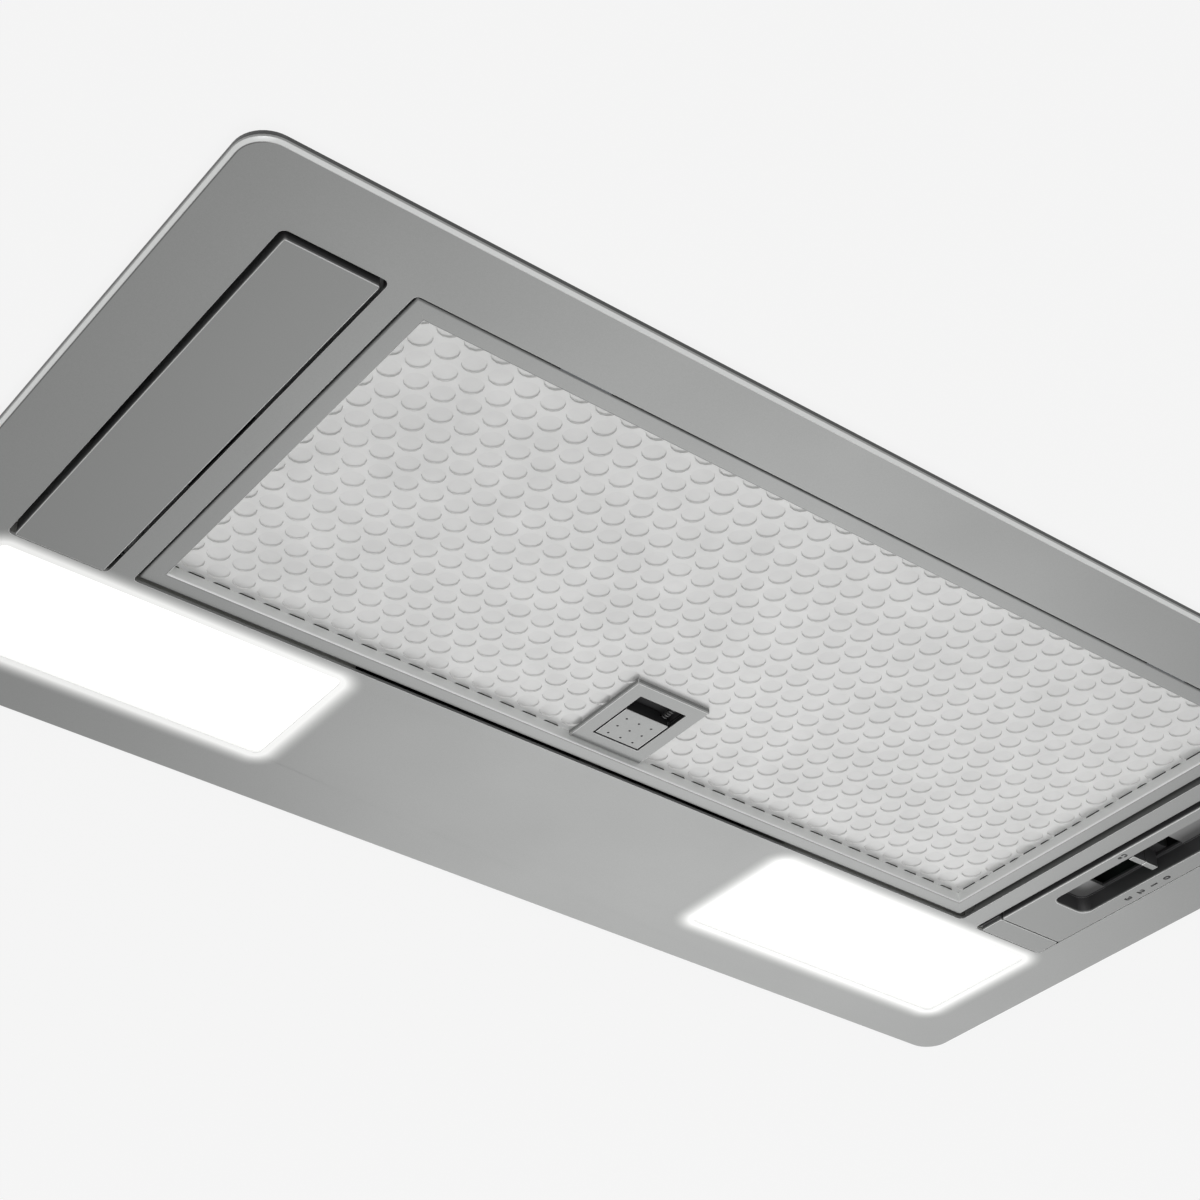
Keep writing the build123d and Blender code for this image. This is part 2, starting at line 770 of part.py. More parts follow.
def make_latch_button():
    """The thumb button, its lips and the bolt that it carries."""
    half = button_length / 2
    button = slab((latch_x - half, latch_x + half), (button_front, button_rear), (button_face_z, button_top))
    lip_half = window_length / 2 + button_lip
    lip_zs = (mesh_z + 0.15, mesh_z + 0.15 + 1.0)
    button += slab((latch_x - lip_half, latch_x + lip_half), (button_front, button_rear), lip_zs)
    bolt_half = bolt_length / 2
    bolt_zs = (bolt_z, bolt_z + bolt_thickness)
    bolt = slab((latch_x - bolt_half, latch_x + bolt_half), (button_front, bolt_tip), bolt_zs)
    return button + bolt


spring_x = latch_x + window_length / 2 - 3.1
spring_z = mesh_z + 0.2 + spring_radius


def make_latch_spring():
    """The small spring in the finger pocket that pushes the button back."""
    length = button_front - latch_body_front - latch_wall
    plane = Plane(origin=(spring_x, button_front, spring_z), x_dir=(1, 0, 0), z_dir=(0, -1, 0))
    return plane * extrude(Circle(spring_radius), length)


def make_latch_keeper():
    """The leaf spring on the plate whose nose holds up the bolt."""
    t = keeper_sheet
    nose_z = bolt_z - keeper_gap - t
    heel = filter_rear_edge + t
    nose_tip = cassette_rear - keeper_nose
    corners = [(heel, plate_top), (heel + keeper_foot, plate_top), (heel + keeper_foot, plate_top + t),
               (heel + t, plate_top + t), (heel + t, nose_z + t), (nose_tip, nose_z + t), (nose_tip, nose_z),
               (heel, nose_z)]
    profile = make_face(Polyline(*corners, close=True))
    leaf = across(latch_x - keeper_width / 2) * extrude(profile, keeper_width)
    rivet_y = heel + keeper_foot * 0.6
    return leaf + hex_z(keeper_rivet_flats, latch_x, rivet_y, (plate_top + t, plate_top + 2.5 * t))


# ------------------------------------------------------------------ sheet-metal body
def clamp_stud_z():
    return rim_top + cabinet_board + clamp_height * 0.55


def make_body():
    """The folded body: four walls with a pressed field front and back, foot and top flange."""
    half_x = body_length / 2
    half_y = body_depth / 2
    s = body_sheet
    zs = (plate_top, body_top)
    walls = slab(centred(half_x), centred(half_y), zs)
    walls += slab(centred(half_x + body_foot), centred(half_y + body_foot), (plate_top, plate_top + s))
    mid_z = (plate_top + body_top) / 2
    field = Plane(origin=(0, 0, mid_z), x_dir=(1, 0, 0), z_dir=(0, -1, 0))
    reach = half_y + swage_proud
    walls += field * extrude(cut_rectangle(swage_length, swage_height, swage_corner), reach, both=True)
    walls -= slab(centred(half_x - s), centred(half_y - s), (plate_top, body_top - s))
    pressed = cut_rectangle(swage_length - 2 * s, swage_height - 2 * s, swage_corner - s / 2)
    walls -= field * extrude(pressed, reach - s, both=True)
    walls -= slab(centred(half_x - body_top_flange), centred(half_y - body_top_flange), zs)
    neck = stud_neck / 2 + hole_clearance
    for x, y in stud_places():
        walls -= slab((x - neck, x + neck), (y - neck, y + neck), (plate_top - 1, plate_top + s + 1))
    for x, y in cover_screw_places():
        walls -= hex_z(screw_flats + 2 * hole_clearance, x, y, (body_top - s - 1, body_top + 1))
    return walls


def cover_screw_places():
    line_x = body_length / 2 - body_top_flange / 2
    line_y = body_depth / 2 - body_top_flange / 2
    places = []
    for side in (-1, 1):
        for x in (-line_x, 0, line_x):
            places.append((x, side * line_y))
        places.append((side * line_x, 0))
    return places


def outlet_screw_places():
    """Four screws that hold the collar, the cover and the scroll together."""
    x = scroll_half + outlet_flange / 2
    y = outlet_depth / 2 + outlet_flange / 2
    return [(sx * x, outlet_mid_y + sy * y) for sx in (-1, 1) for sy in (-1, 1)]


outlet_xs = centred(scroll_half - scroll_wall)
outlet_ys = (outlet_mid_y - outlet_depth / 2, outlet_mid_y + outlet_depth / 2)
gland_y = body_depth / 2 - body_top_flange - gland_nut_flats * 0.6 - 1


def make_top_cover():
    cover = slab(centred(body_length / 2), centred(body_depth / 2), (body_top, cover_top))
    through = (body_top - 1, cover_top + 1)
    cover -= slab(outlet_xs, outlet_ys, through)
    cover -= disc_z(gland_radius + hole_clearance, terminal_box_x, gland_y, through)
    for x, y in cover_screw_places():
        cover -= hex_z(screw_flats + 2 * hole_clearance, x, y, through)
    for x, y in outlet_screw_places():
        cover -= hex_z(motor_screw_flats + 2 * hole_clearance, x, y, through)
    return cover


def make_cover_screws():
    """Hexagon-headed screws that point down into the body's top flange."""
    screws = []
    for x, y in cover_screw_places():
        head = hex_z(screw_head_flats, x, y, (cover_top, cover_top + screw_head_height))
        screws.append(head + hex_z(screw_flats, x, y, (cover_top - screw_length, cover_top)))
    return group(screws)


def make_outlet_screws():
    """Hexagon-headed screws through the collar, the cover and the scroll's flange."""
    low = body_top - outlet_flange_thickness
    screws = []
    for x, y in outlet_screw_places():
        head = hex_z(motor_screw_head_flats, x, y, (collar_z, collar_z + motor_screw_head_height))
        screws.append(head + hex_z(motor_screw_flats, x, y, (low, collar_z)))
    return group(screws)


# ------------------------------------------------------------------ blower
def scroll_outline(grow, top):
    """The spiral across the shaft: three quarter-turn arcs of growing radius and the outlet."""
    a = scroll_step
    radii = [scroll_radius + grow + step * a for step in range(3)]
    centres = [(-a / 2, -a / 2), (a / 2, -a / 2), (a / 2, a / 2)]
    outer_y = centres[2][0] + radii[2]
    inner_y = centres[2][0] + scroll_radius + 2 * a - outlet_depth - grow
    reach = inner_y - centres[0][0]
    tongue = (inner_y, centres[0][1] + sqrt(radii[0] ** 2 - reach ** 2))
    start = degrees(atan2(tongue[1] - centres[0][1], reach))
    arcs = CenterArc(centres[0], radii[0], start, 180 - start)
    arcs += CenterArc(centres[1], radii[1], 180, 90)
    arcs += CenterArc(centres[2], radii[2], 270, 90)
    walls = Polyline((outer_y, centres[2][1]), (outer_y, top), (inner_y, top), tongue)
    return make_face(arcs + walls)


def scroll_block(grow, xs, top):
    return across(xs[0], fan_y, fan_z) * extrude(scroll_outline(grow, top), xs[1] - xs[0])


scroll_top = body_top - fan_z


def ear_places():
    """The ears round the seam of the scroll, in the plane across the shaft: Y, Z and angle."""
    a = scroll_step
    mid = scroll_wall + scroll_ear / 2
    places = []
    for centre, radius, angle in (((-a / 2, -a / 2), scroll_radius, 135),
                                  ((a / 2, -a / 2), scroll_radius + a, 225),
                                  ((a / 2, a / 2), scroll_radius + 2 * a, 315)):
        reach = radius + mid
        y = fan_y + centre[0] + reach * cos(radians(angle))
        z = fan_z + centre[1] + reach * sin(radians(angle))
        places.append((y, z, angle))
    return places


def scroll_half_shell(xs, ear_xs):
    """Half of the scroll: its spiral wall, its side wall and the screw ears at the seam."""
    shell = scroll_block(scroll_wall, xs, scroll_top)
    ear = Pos(-scroll_wall / 4, 0) * Rectangle(scroll_ear + scroll_wall / 2, scroll_ear_width)
    for y, z, angle in ear_places():
        shell += across(ear_xs[0], y, z) * Rot(0, 0, angle) * extrude(ear, ear_xs[1] - ear_xs[0])
    flange_ys = grown(outlet_ys, outlet_flange)
    flange_xs = (xs[0] - outlet_flange, xs[1]) if xs[0] < 0 else (xs[0], xs[1] + outlet_flange)
    shell += slab(flange_xs, flange_ys, (body_top - outlet_flange_thickness, body_top))
    cavity_xs = (xs[0] + scroll_wall, 0) if xs[0] < 0 else (0, xs[1] - scroll_wall)
    shell -= scroll_block(0, cavity_xs, scroll_top + 1)
    for y, z, _ in ear_places():
        shell -= hex_x(screw_flats + 2 * hole_clearance, grown(ear_xs, 1), y, z)
    flange_zs = (body_top - outlet_flange_thickness - 1, body_top + 1)
    for x, y in outlet_screw_places():
        shell -= hex_z(motor_screw_flats + 2 * hole_clearance, x, y, flange_zs)
    return shell


def make_scroll_inlet_half():
    shell = scroll_half_shell((-scroll_half, 0), (-scroll_ear_thickness, 0))
    return shell - disc_x(inlet_radius, (-scroll_half - 1, -scroll_half + scroll_wall + 1), fan_y, fan_z)


def make_scroll_motor_half():
    shell = scroll_half_shell((0, scroll_half), (0, scroll_ear_thickness))
    wall_xs = (scroll_half - scroll_wall - 1, scroll_half + 1)
    shell -= disc_x(shaft_hole_radius, wall_xs, fan_y, fan_z)
    for y, z in plate_screw_places():
        shell -= hex_x(screw_flats + 2 * hole_clearance, wall_xs, y, z)
    return shell


def plate_screw_places():
    """The four corners of the motor plate."""
    reach = motor_plate_size / 2 - motor_plate_edge
    return [(fan_y + sy * reach, fan_z + sz * reach) for sy in (-1, 1) for sz in (-1, 1)]


def make_scroll_screws():
    """Screws along the seam, and screws that hold the motor plate to the scroll."""
    ear = scroll_ear_thickness
    screws = []
    for y, z, _ in ear_places():
        head = hex_x(screw_head_flats, (-ear - screw_head_height, -ear), y, z)
        screws.append(head + hex_x(screw_flats, (-ear, ear + 1.5), y, z))
    outer = scroll_half + motor_plate_sheet
    for y, z in plate_screw_places():
        head = hex_x(screw_head_flats, (outer, outer + screw_head_height), y, z)
        screws.append(head + hex_x(screw_flats, (scroll_half - scroll_wall, outer), y, z))
    return group(screws)


def make_inlet_ring():
    """The cone that guides air into the impeller's eye, with its square flange."""
    face = -scroll_half
    outer = face - inlet_ring_sheet
    throat = inlet_radius - inlet_ring_step
    spigot = inlet_radius - inlet_ring_clearance
    size = 2 * (inlet_radius + inlet_ring_flange)
    plan = cut_rectangle(size, size, inlet_ring_corner) - Circle(spigot)
    flange = across(outer, fan_y, fan_z) * extrude(plan, inlet_ring_sheet)
    points = [(outer, spigot), (face + inlet_ring_throat, throat - inlet_ring_sheet),
              (face + inlet_ring_throat, throat), (face, spigot)]
    return flange + turned_about_x(points, fan_y, fan_z)


impeller_xs = (impeller_offset - impeller_width / 2, impeller_offset + impeller_width / 2)


def blade_outline():
    """One forward-curved blade: two flats that leave the inner circle squarely and lean ahead."""
    inner = impeller_inner_radius + 0.3
    outer = impeller_radius * cos(radians(180 / blade_count)) - 0.3
    reach = sqrt(inner ** 2 + blade_curve ** 2)
    start = atan2(-inner * blade_curve, inner * inner - reach ** 2)
    swing = (outer ** 2 - reach ** 2 - blade_curve ** 2) / (2 * reach * blade_curve)
    end = -acos(swing)
    angles = [start, (start + end) / 2, end]
    front = [point_on_bend(reach, angle, blade_thickness / 2) for angle in angles]
    back = [point_on_bend(reach, angle, -blade_thickness / 2) for angle in reversed(angles)]
    return make_face(Polyline(*front, *back, close=True))


def point_on_bend(reach, angle, shift):
    """A point beside the circle that the blades are bent to."""
    radius = blade_curve + shift
    return (reach + radius * cos(angle), radius * sin(angle))


def make_impeller():
    """A squirrel-cage wheel: back plate and hub, a front ring, and the blades between them.

    The back plate and the ring have one flat for each blade.
    """
    x0, x1 = impeller_xs
    t = impeller_sheet
    plate = RegularPolygon(impeller_radius, blade_count)
    eye = RegularPolygon(impeller_inner_radius, blade_count)
    hub_xs = (x1 - hub_length, x1)
    wheel = across(x1 - t) * extrude(plate, t)
    wheel += disc_x(hub_radius, hub_xs, 0, 0)
    wheel -= disc_x(shaft_radius, grown(hub_xs, 1), 0, 0)
    wheel += across(x0) * extrude(plate - eye, t)
    length = impeller_width - 2 * t
    blade = across(x0 + t) * extrude(blade_outline(), length)
    wheel += [Rot((number + 0.5) * 360 / blade_count, 0, 0) * blade for number in range(blade_count)]
    return Pos(0, fan_y, fan_z) * wheel


# ------------------------------------------------------------------ motor
def bush_places():
    places = []
    for number in range(bush_count):
        angle = radians(45 + number * 360 / bush_count)
        places.append((fan_y + bush_circle * cos(angle), fan_z + bush_circle * sin(angle)))
    return places


def make_motor_plate():
    """The sheet that carries the motor on the side of the scroll."""
    size = motor_plate_size
    plan = Rectangle(size, size) - Circle(shaft_hole_radius)
    plate = across(scroll_half, fan_y, fan_z) * extrude(plan, motor_plate_sheet)
    xs = (scroll_half - 1, scroll_half + motor_plate_sheet + 1)
    for y, z in bush_places():
        plate -= hex_x(motor_screw_flats + 2 * hole_clearance, xs, y, z)
    for y, z in plate_screw_places():
        plate -= hex_x(screw_flats + 2 * hole_clearance, xs, y, z)
    return plate


def make_motor_bushes():
    """Rubber bushes that keep the motor's hum out of the scroll."""
    xs = (scroll_half + motor_plate_sheet, motor_x0)
    ring = hexagon(bush_flats) - hexagon(motor_screw_flats + 2 * hole_clearance)
    return group([across(xs[0], y, z) * extrude(ring, xs[1] - xs[0]) for y, z in bush_places()])


front_x1 = motor_x0 + motor_front_plate
stator_x1 = front_x1 + stator_length
rear_x1 = stator_x1 + motor_cap_length


def make_motor_front_cap():
    """The end plate towards the fan, with the first bearing."""
    corner = motor_core_corner + (motor_flange - motor_core) / 2
    plan = cut_rectangle(motor_flange, motor_flange, corner) - Circle(shaft_radius + bearing_clearance)
    cap = across(motor_x0, fan_y, fan_z) * extrude(plan, motor_front_plate)
    for y, z in bush_places():
        cap -= hex_x(motor_screw_flats + 2 * hole_clearance, (motor_x0 - 1, front_x1 + 1), y, z)
    return cap


def make_motor_stator():
    """The stacked core, bored for the rotor."""
    plan = cut_rectangle(motor_core, motor_core, motor_core_corner) - Circle(stator_bore)
    return across(front_x1, fan_y, fan_z) * extrude(plan, stator_length)


def make_motor_rear_cap():
    """The cup-shaped cap with the second bearing."""
    w = motor_wall
    outside = cut_rectangle(motor_core, motor_core, motor_core_corner)
    hollow = cut_rectangle(motor_core - 2 * w, motor_core - 2 * w, motor_core_corner - w / 2)
    cap = across(stator_x1, fan_y, fan_z) * extrude(outside, motor_cap_length)
    cap -= across(stator_x1, fan_y, fan_z) * extrude(hollow, motor_cap_length - w)
    return cap - disc_x(shaft_radius + bearing_clearance, (stator_x1, rear_x1 + 1), fan_y, fan_z)


def make_motor_screws():
    screws = []
    for y, z in bush_places():
        shank = hex_x(motor_screw_flats, (scroll_half, front_x1), y, z)
        head = hex_x(motor_screw_head_flats, (front_x1, front_x1 + motor_screw_head_height), y, z)
        screws.append(shank + head)
    return group(screws)


def make_motor_rotor():
    ring = RegularPolygon(stator_bore - rotor_air_gap, rotor_bars) - Circle(shaft_radius)
    return across(front_x1 + 1, fan_y, fan_z) * extrude(ring, stator_length - 2)


def make_fan_shaft():
    return disc_x(shaft_radius, (impeller_xs[1] - hub_length, rear_x1 + 3), fan_y, fan_z)


# ------------------------------------------------------------------ outlet
def make_outlet_collar():
    """A moulded collar: screwed flange and duct spigot, with stops and saddles for the flaps."""
    half = collar_flange / 2
    ys = (outlet_mid_y - half, outlet_mid_y + half)
    collar = slab(centred(half), ys, (cover_top, collar_z))
    collar += disc_z(duct_radius, 0, outlet_mid_y, (collar_z, duct_top))
    collar -= disc_z(duct_bore, 0, outlet_mid_y, (collar_z, duct_top + 1))
    collar -= slab(outlet_xs, outlet_ys, (cover_top - 1, collar_z + 1))
    half_stop = flap_stop_size / 2
    for angle in (50, 130, 230, 310):
        stop = slab((duct_bore - flap_stop_size / 2, duct_bore + collar_wall / 2), centred(half_stop),
                    (flap_stop_z - flap_stop_height, flap_stop_z))
        collar += Pos(0, outlet_mid_y, 0) * Rot(0, 0, angle) * stop
    reach = axle_half_length()
    for side in (-1, 1):
        for y in flap_axle_ys():
            xs = sorted((side * (reach - flap_saddle), side * (reach + collar_wall / 2)))
            block_ys = (y - flap_saddle / 2, y + flap_saddle / 2)
            block = slab(xs, block_ys, (flap_axle_z - flap_saddle, flap_axle_z + 1))
            notch = slab(xs, (y - flap_axle_radius, y + flap_axle_radius),
                         (flap_axle_z - flap_axle_radius, flap_axle_z + 1))
            collar += block - notch
    for x, y in outlet_screw_places():
        collar -= hex_z(motor_screw_flats + 2 * hole_clearance, x, y, (cover_top - 1, collar_z + 1))
    return collar


flap_axle_z = collar_z + flap_axle_height
flap_stop_z = flap_axle_z - flap_bar / 2 - flap_thickness - 0.3


def flap_axle_ys():
    return (outlet_mid_y - flap_axle_spacing / 2, outlet_mid_y + flap_axle_spacing / 2)


def axle_half_length():
    """The rods end inside the spigot, just clear of its wall."""
    outermost = flap_axle_spacing / 2 + flap_saddle / 2
    return sqrt(duct_bore ** 2 - outermost ** 2) - 0.2


def make_flap_axles():
    half = axle_half_length()
    return group([disc_x(flap_axle_radius, centred(half), y, flap_axle_z) for y in flap_axle_ys()])


def make_flap(side):
    """Half of the non-return damper: a half disc that hangs on its rod and lies on the stops."""
    y = outlet_mid_y + side * flap_axle_spacing / 2
    radius = duct_bore - flap_rim_gap
    low = flap_axle_z - flap_bar / 2 - flap_thickness
    disc = disc_z(radius, 0, outlet_mid_y, (low, low + flap_thickness))
    keep = (y, outlet_mid_y + duct_radius) if side > 0 else (outlet_mid_y - duct_radius, y)
    disc = disc & slab(centred(radius + 1), keep, (low - 1, low + 5))
    notch = flap_saddle / 2 + flap_rim_gap
    for end in (-1, 1):
        xs = sorted((end * (axle_half_length() - flap_saddle - 1.0), end * (radius + 1)))
        disc -= slab(xs, (y - notch, y + notch), (low - 1, low + 5))
    bar_half = axle_half_length() - flap_saddle - 1.0
    bar_ys = (y - flap_bar / 2, y + flap_bar / 2)
    bar = slab(centred(bar_half), bar_ys, (flap_axle_z - flap_bar / 2, flap_axle_z + flap_bar / 2))
    web = slab(centred(bar_half), sorted((y, y + side * flap_thickness)), (low, flap_axle_z))
    flap = disc + bar + web
    return flap - disc_x(flap_axle_radius + flap_clearance, centred(radius + 1), y, flap_axle_z)


# ------------------------------------------------------------------ electrics
terminal_xs = (terminal_box_x - terminal_box_length / 2, terminal_box_x + terminal_box_length / 2)
terminal_zs = (terminal_box_z, terminal_box_z + terminal_box_height)
terminal_front = body_inner_y - terminal_box_depth


def make_terminal_box():
    """The mains box on the rear wall, open towards the room until its lid goes on."""
    w = terminal_box_wall
    ys = (terminal_front, body_inner_y)
    box = slab(terminal_xs, ys, terminal_zs)
    inside_zs = (terminal_zs[0] + w, terminal_zs[1] - w)
    box -= slab(grown(terminal_xs, -w), (terminal_front - 1, body_inner_y - w), inside_zs)
    return box


def make_terminal_lid():
    w = terminal_box_wall
    ys = (terminal_front - w, terminal_front)
    lid = slab(terminal_xs, ys, terminal_zs)
    inside_zs = (terminal_zs[0] + w + 0.2, terminal_zs[1] - w - 0.2)
    return lid + slab(grown(terminal_xs, -w - 0.2), (terminal_front, terminal_front + w), inside_zs)


def make_terminal_block():
    """The three-way connector block on the box's back wall."""
    w = terminal_box_wall
    floor_z = terminal_zs[0] + w
    roof_z = floor_z + terminal_block_height
    half = terminal_block_length / 2
    hole = terminal_hole / 2
    ys = (body_inner_y - w - terminal_block_depth, body_inner_y - w)
    mid_y = (ys[0] + ys[1]) / 2
    block = slab((terminal_box_x - half, terminal_box_x + half), ys, (floor_z, roof_z))
    hole_zs = (roof_z - terminal_hole_depth, roof_z)
    for column in (-1, 0, 1):
        x = terminal_box_x + column * terminal_pitch
        block -= slab((x - hole, x + hole), (mid_y - hole, mid_y + hole), hole_zs)
    return block


def make_cable_gland():
    """The screwed gland through the cover, with its lock nut below."""
    x = terminal_box_x
    foot = body_top - gland_nut_height
    dome_z = cover_top + gland_nut_height
    dome_top = dome_z + gland_dome_height
    gland = hex_z(gland_nut_flats, x, gland_y, (foot, body_top))
    gland += disc_z(gland_radius, x, gland_y, (body_top, cover_top))
    gland += hex_z(gland_nut_flats, x, gland_y, (cover_top, dome_z))
    gland += hex_z(gland_nut_flats - 4, x, gland_y, (dome_z, dome_top))
    return gland - disc_z(gland_bore, x, gland_y, (foot - 1, dome_top + 1))


def make_capacitor():
    """The motor's run capacitor, its stud against the pressed field of the rear wall."""
    wall_y = body_inner_y + swage_proud
    y1 = wall_y - capacitor_stud_length
    plane = Plane(origin=(capacitor_x, wall_y, capacitor_z), x_dir=(1, 0, 0), z_dir=(0, -1, 0))
    stud = plane * extrude(hexagon(2 * capacitor_stud_radius), capacitor_stud_length)
    face = Plane(origin=(capacitor_x, y1, capacitor_z), x_dir=(1, 0, 0), z_dir=(0, -1, 0))
    return stud + face * extrude(Circle(capacitor_radius), capacitor_length)


# ------------------------------------------------------------------ cabinet clamps
def make_clamp():
    """The right-hand angle bracket that grips the cabinet board against the plate's rim."""
    x0 = body_length / 2 + clamp_gap
    z0 = rim_top + cabinet_board
    half = clamp_width / 2
    bracket = slab((x0, x0 + clamp_sheet), centred(half), (z0, z0 + clamp_height))
    bracket += slab((x0, x0 + clamp_foot), centred(half), (z0, z0 + clamp_sheet))
    gusset = make_face(Polyline((0, 0), (clamp_foot - 2, 0), (0, clamp_foot - 2), close=True))
    for y in (-half, half - clamp_sheet):
        plane = Plane(origin=(x0, y, z0), x_dir=(1, 0, 0), z_dir=(0, 1, 0))
        wedge = plane * extrude(mirror(gusset, about=Plane.XZ), clamp_sheet)
        bracket += wedge
    slot = Plane(origin=(x0 - 1, 0, clamp_stud_z()), x_dir=(0, 0, 1), z_dir=(1, 0, 0))
    for y in (-half / 2, half / 2):
        window = Rectangle(clamp_slot_length, clamp_slot_width)
        bracket -= slot * Pos(0, -y, 0) * extrude(window, clamp_sheet + 2)
    return bracket


clamp_grip = clamp_gap + clamp_sheet + clamp_gap


def clamp_stud_ys():
    return (-clamp_width / 4, clamp_width / 4)


def make_clamp_studs():
    """Square-necked studs in the body's side walls, two for each clamp."""
    half = clamp_stud_neck / 2
    wall = body_length / 2
    studs = []
    for side in (-1, 1):
        for y in clamp_stud_ys():
            xs = sorted((side * wall, side * (wall + clamp_grip)))
            studs.append(slab(xs, (y - half, y + half), (clamp_stud_z() - half, clamp_stud_z() + half)))
    return group(studs)


def make_clamp_nuts():
    start = body_length / 2 + clamp_grip
    nuts = []
    for side in (-1, 1):
        for y in clamp_stud_ys():
            xs = sorted((side * start, side * (start + clamp_nut_height)))
            nuts.append(hex_x(clamp_nut_flats, xs, y, clamp_stud_z()))
    return group(nuts)


# ------------------------------------------------------------------ all pieces
lens = make_lamp_lens()
tray = make_lamp_tray()
led_board = make_led_board()
clamp = make_clamp()

pieces = {
    "underside_plate": make_underside_plate(),
    "plate_studs": make_plate_studs(),
    "plate_nuts": make_plate_nuts(),
    "blank_strip": make_blank_strip(),
    "control_strip": make_control_strip(),
    "end_strip": make_end_strip(),
    "switch_housing": make_switch_housing(),
    "switch_board": make_switch_board(),
    "light_slider": make_light_slider(),
    "fan_slider": make_fan_slider(),
    "lamp_lens_left": mirrored(lens),
    "lamp_lens_right": lens,
    "lamp_tray_left": mirrored(tray),
    "lamp_tray_right": tray,
    "led_board_left": mirrored(led_board),
    "led_board_right": led_board,
    "lamp_driver": make_lamp_driver(),
    "filter_rail_front": make_front_rail(),
    "filter_rail_rear": make_rear_rail(),
    "filter_rail_left": make_side_rail(-1),
    "filter_rail_right": make_side_rail(1),
    "filter_front_sheet": make_filter_front_sheet(),
    "filter_mesh_pack": make_filter_mesh_pack(),
    "filter_back_sheet": make_filter_back_sheet(),
    "filter_hooks": make_filter_hooks(),
    "latch_housing": make_latch_housing(),
    "latch_button": make_latch_button(),
    "latch_spring": make_latch_spring(),
    "latch_keeper": make_latch_keeper(),
    "body_shell": make_body(),
    "top_cover": make_top_cover(),
    "cover_screws": make_cover_screws(),
    "scroll_inlet_half": make_scroll_inlet_half(),
    "scroll_motor_half": make_scroll_motor_half(),
    "scroll_screws": make_scroll_screws(),
    "inlet_ring": make_inlet_ring(),
    "impeller": make_impeller(),
    "fan_shaft": make_fan_shaft(),
    "motor_plate": make_motor_plate(),
    "motor_bushes": make_motor_bushes(),
    "motor_front_cap": make_motor_front_cap(),
    "motor_stator": make_motor_stator(),
    "motor_rear_cap": make_motor_rear_cap(),
    "motor_rotor": make_motor_rotor(),
    "motor_screws": make_motor_screws(),
    "outlet_collar": make_outlet_collar(),
    "outlet_screws": make_outlet_screws(),
    "flap_axles": make_flap_axles(),
    "flap_front": make_flap(-1),
    "flap_rear": make_flap(1),
    "terminal_box": make_terminal_box(),
    "terminal_lid": make_terminal_lid(),
    "terminal_block": make_terminal_block(),
    "cable_gland": make_cable_gland(),
    "capacitor": make_capacitor(),
    "clamp_left": mirrored(clamp),
    "clamp_right": clamp,
    "clamp_studs": make_clamp_studs(),
    "clamp_nuts": make_clamp_nuts(),
}

os.makedirs("parts", exist_ok=True)
for name, piece in pieces.items():
    export_step(piece, f"parts/{name}.step")
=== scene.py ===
from math import cos, pi, radians, sqrt

import bmesh
import bpy
from bpy.props import FloatProperty, FloatVectorProperty, IntProperty, PointerProperty
from mathutils import Matrix, Vector


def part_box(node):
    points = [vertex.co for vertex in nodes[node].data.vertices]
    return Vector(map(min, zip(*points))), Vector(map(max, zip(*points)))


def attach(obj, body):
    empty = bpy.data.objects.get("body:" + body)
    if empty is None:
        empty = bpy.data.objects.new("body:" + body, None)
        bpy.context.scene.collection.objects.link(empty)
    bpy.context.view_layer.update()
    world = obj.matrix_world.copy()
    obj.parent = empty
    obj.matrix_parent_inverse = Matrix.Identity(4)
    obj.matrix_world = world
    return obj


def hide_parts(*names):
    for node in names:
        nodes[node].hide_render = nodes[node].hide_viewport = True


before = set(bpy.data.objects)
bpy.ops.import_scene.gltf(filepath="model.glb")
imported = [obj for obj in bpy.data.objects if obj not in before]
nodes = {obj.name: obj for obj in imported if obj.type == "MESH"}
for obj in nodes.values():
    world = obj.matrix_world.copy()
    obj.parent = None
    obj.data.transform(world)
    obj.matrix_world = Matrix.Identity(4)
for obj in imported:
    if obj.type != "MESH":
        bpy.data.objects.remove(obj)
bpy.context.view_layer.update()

bl_info = {
    "name": "Range hood",
    "version": (1, 0, 0),
    "blender": (4, 5, 0),
    "location": "3D View > Sidebar > Range hood",
    "description": "Dresses the packed frame of a canopy range hood",
    "category": "Object",
}

MM = 0.001

RAILS = ("filter_rail_front", "filter_rail_rear", "filter_rail_left", "filter_rail_right")
STRIPS = ("blank_strip", "control_strip", "end_strip")
FINS = ("light_slider", "fan_slider")

# Measures of the part's shapes that finishes, pits and signs go by
PLATE_CORNER = 11.0 * MM
LENS_CORNER = 6.0 * MM
TROUGH_LOW = (211.05 * MM, -71.6 * MM)
TROUGH_HIGH = (229.75 * MM, 17.4 * MM)
TROUGH_CORNER = 4.0 * MM
SLOT_MIDDLE_Y = -16.75 * MM
LATCH_FRAME = 2 * MM
BUTTON_FACE = 18.9 * MM
PITS_OFF_CENTRE = 1.2 * MM
NUMBERS_X = 234.4 * MM
NUMBERS_Y = {"0": -23.5 * MM, "1": -16.6 * MM, "2": -9.6 * MM, "3": -2.6 * MM}
BULB_PLACE = (208.0 * MM, -24.5 * MM)

# Up to these heights the mouldings are sprayed silver; deeper they are dark grey, partly bare moulding and
# partly painted shade
STRIP_SPRAY = 0.9 * MM
LATCH_SPRAY = 7.3 * MM

LAMP_LIGHT = (1.0, 0.995, 0.98, 1.0)
# Painted light on the plate round the lenses: how far it reaches and how bright
HALO_REACH = 7.5 * MM
HALO_STRENGTH = 0.62


# ------ colours
def linear(hex_colour):
    """A colour written as sRGB hex, as the linear values that shaders take."""
    values = []
    for place in (1, 3, 5):
        value = int(hex_colour[place:place + 2], 16) / 255
        values.append(value / 12.92 if value <= 0.04045 else ((value + 0.055) / 1.055) ** 2.4)
    return tuple(values)


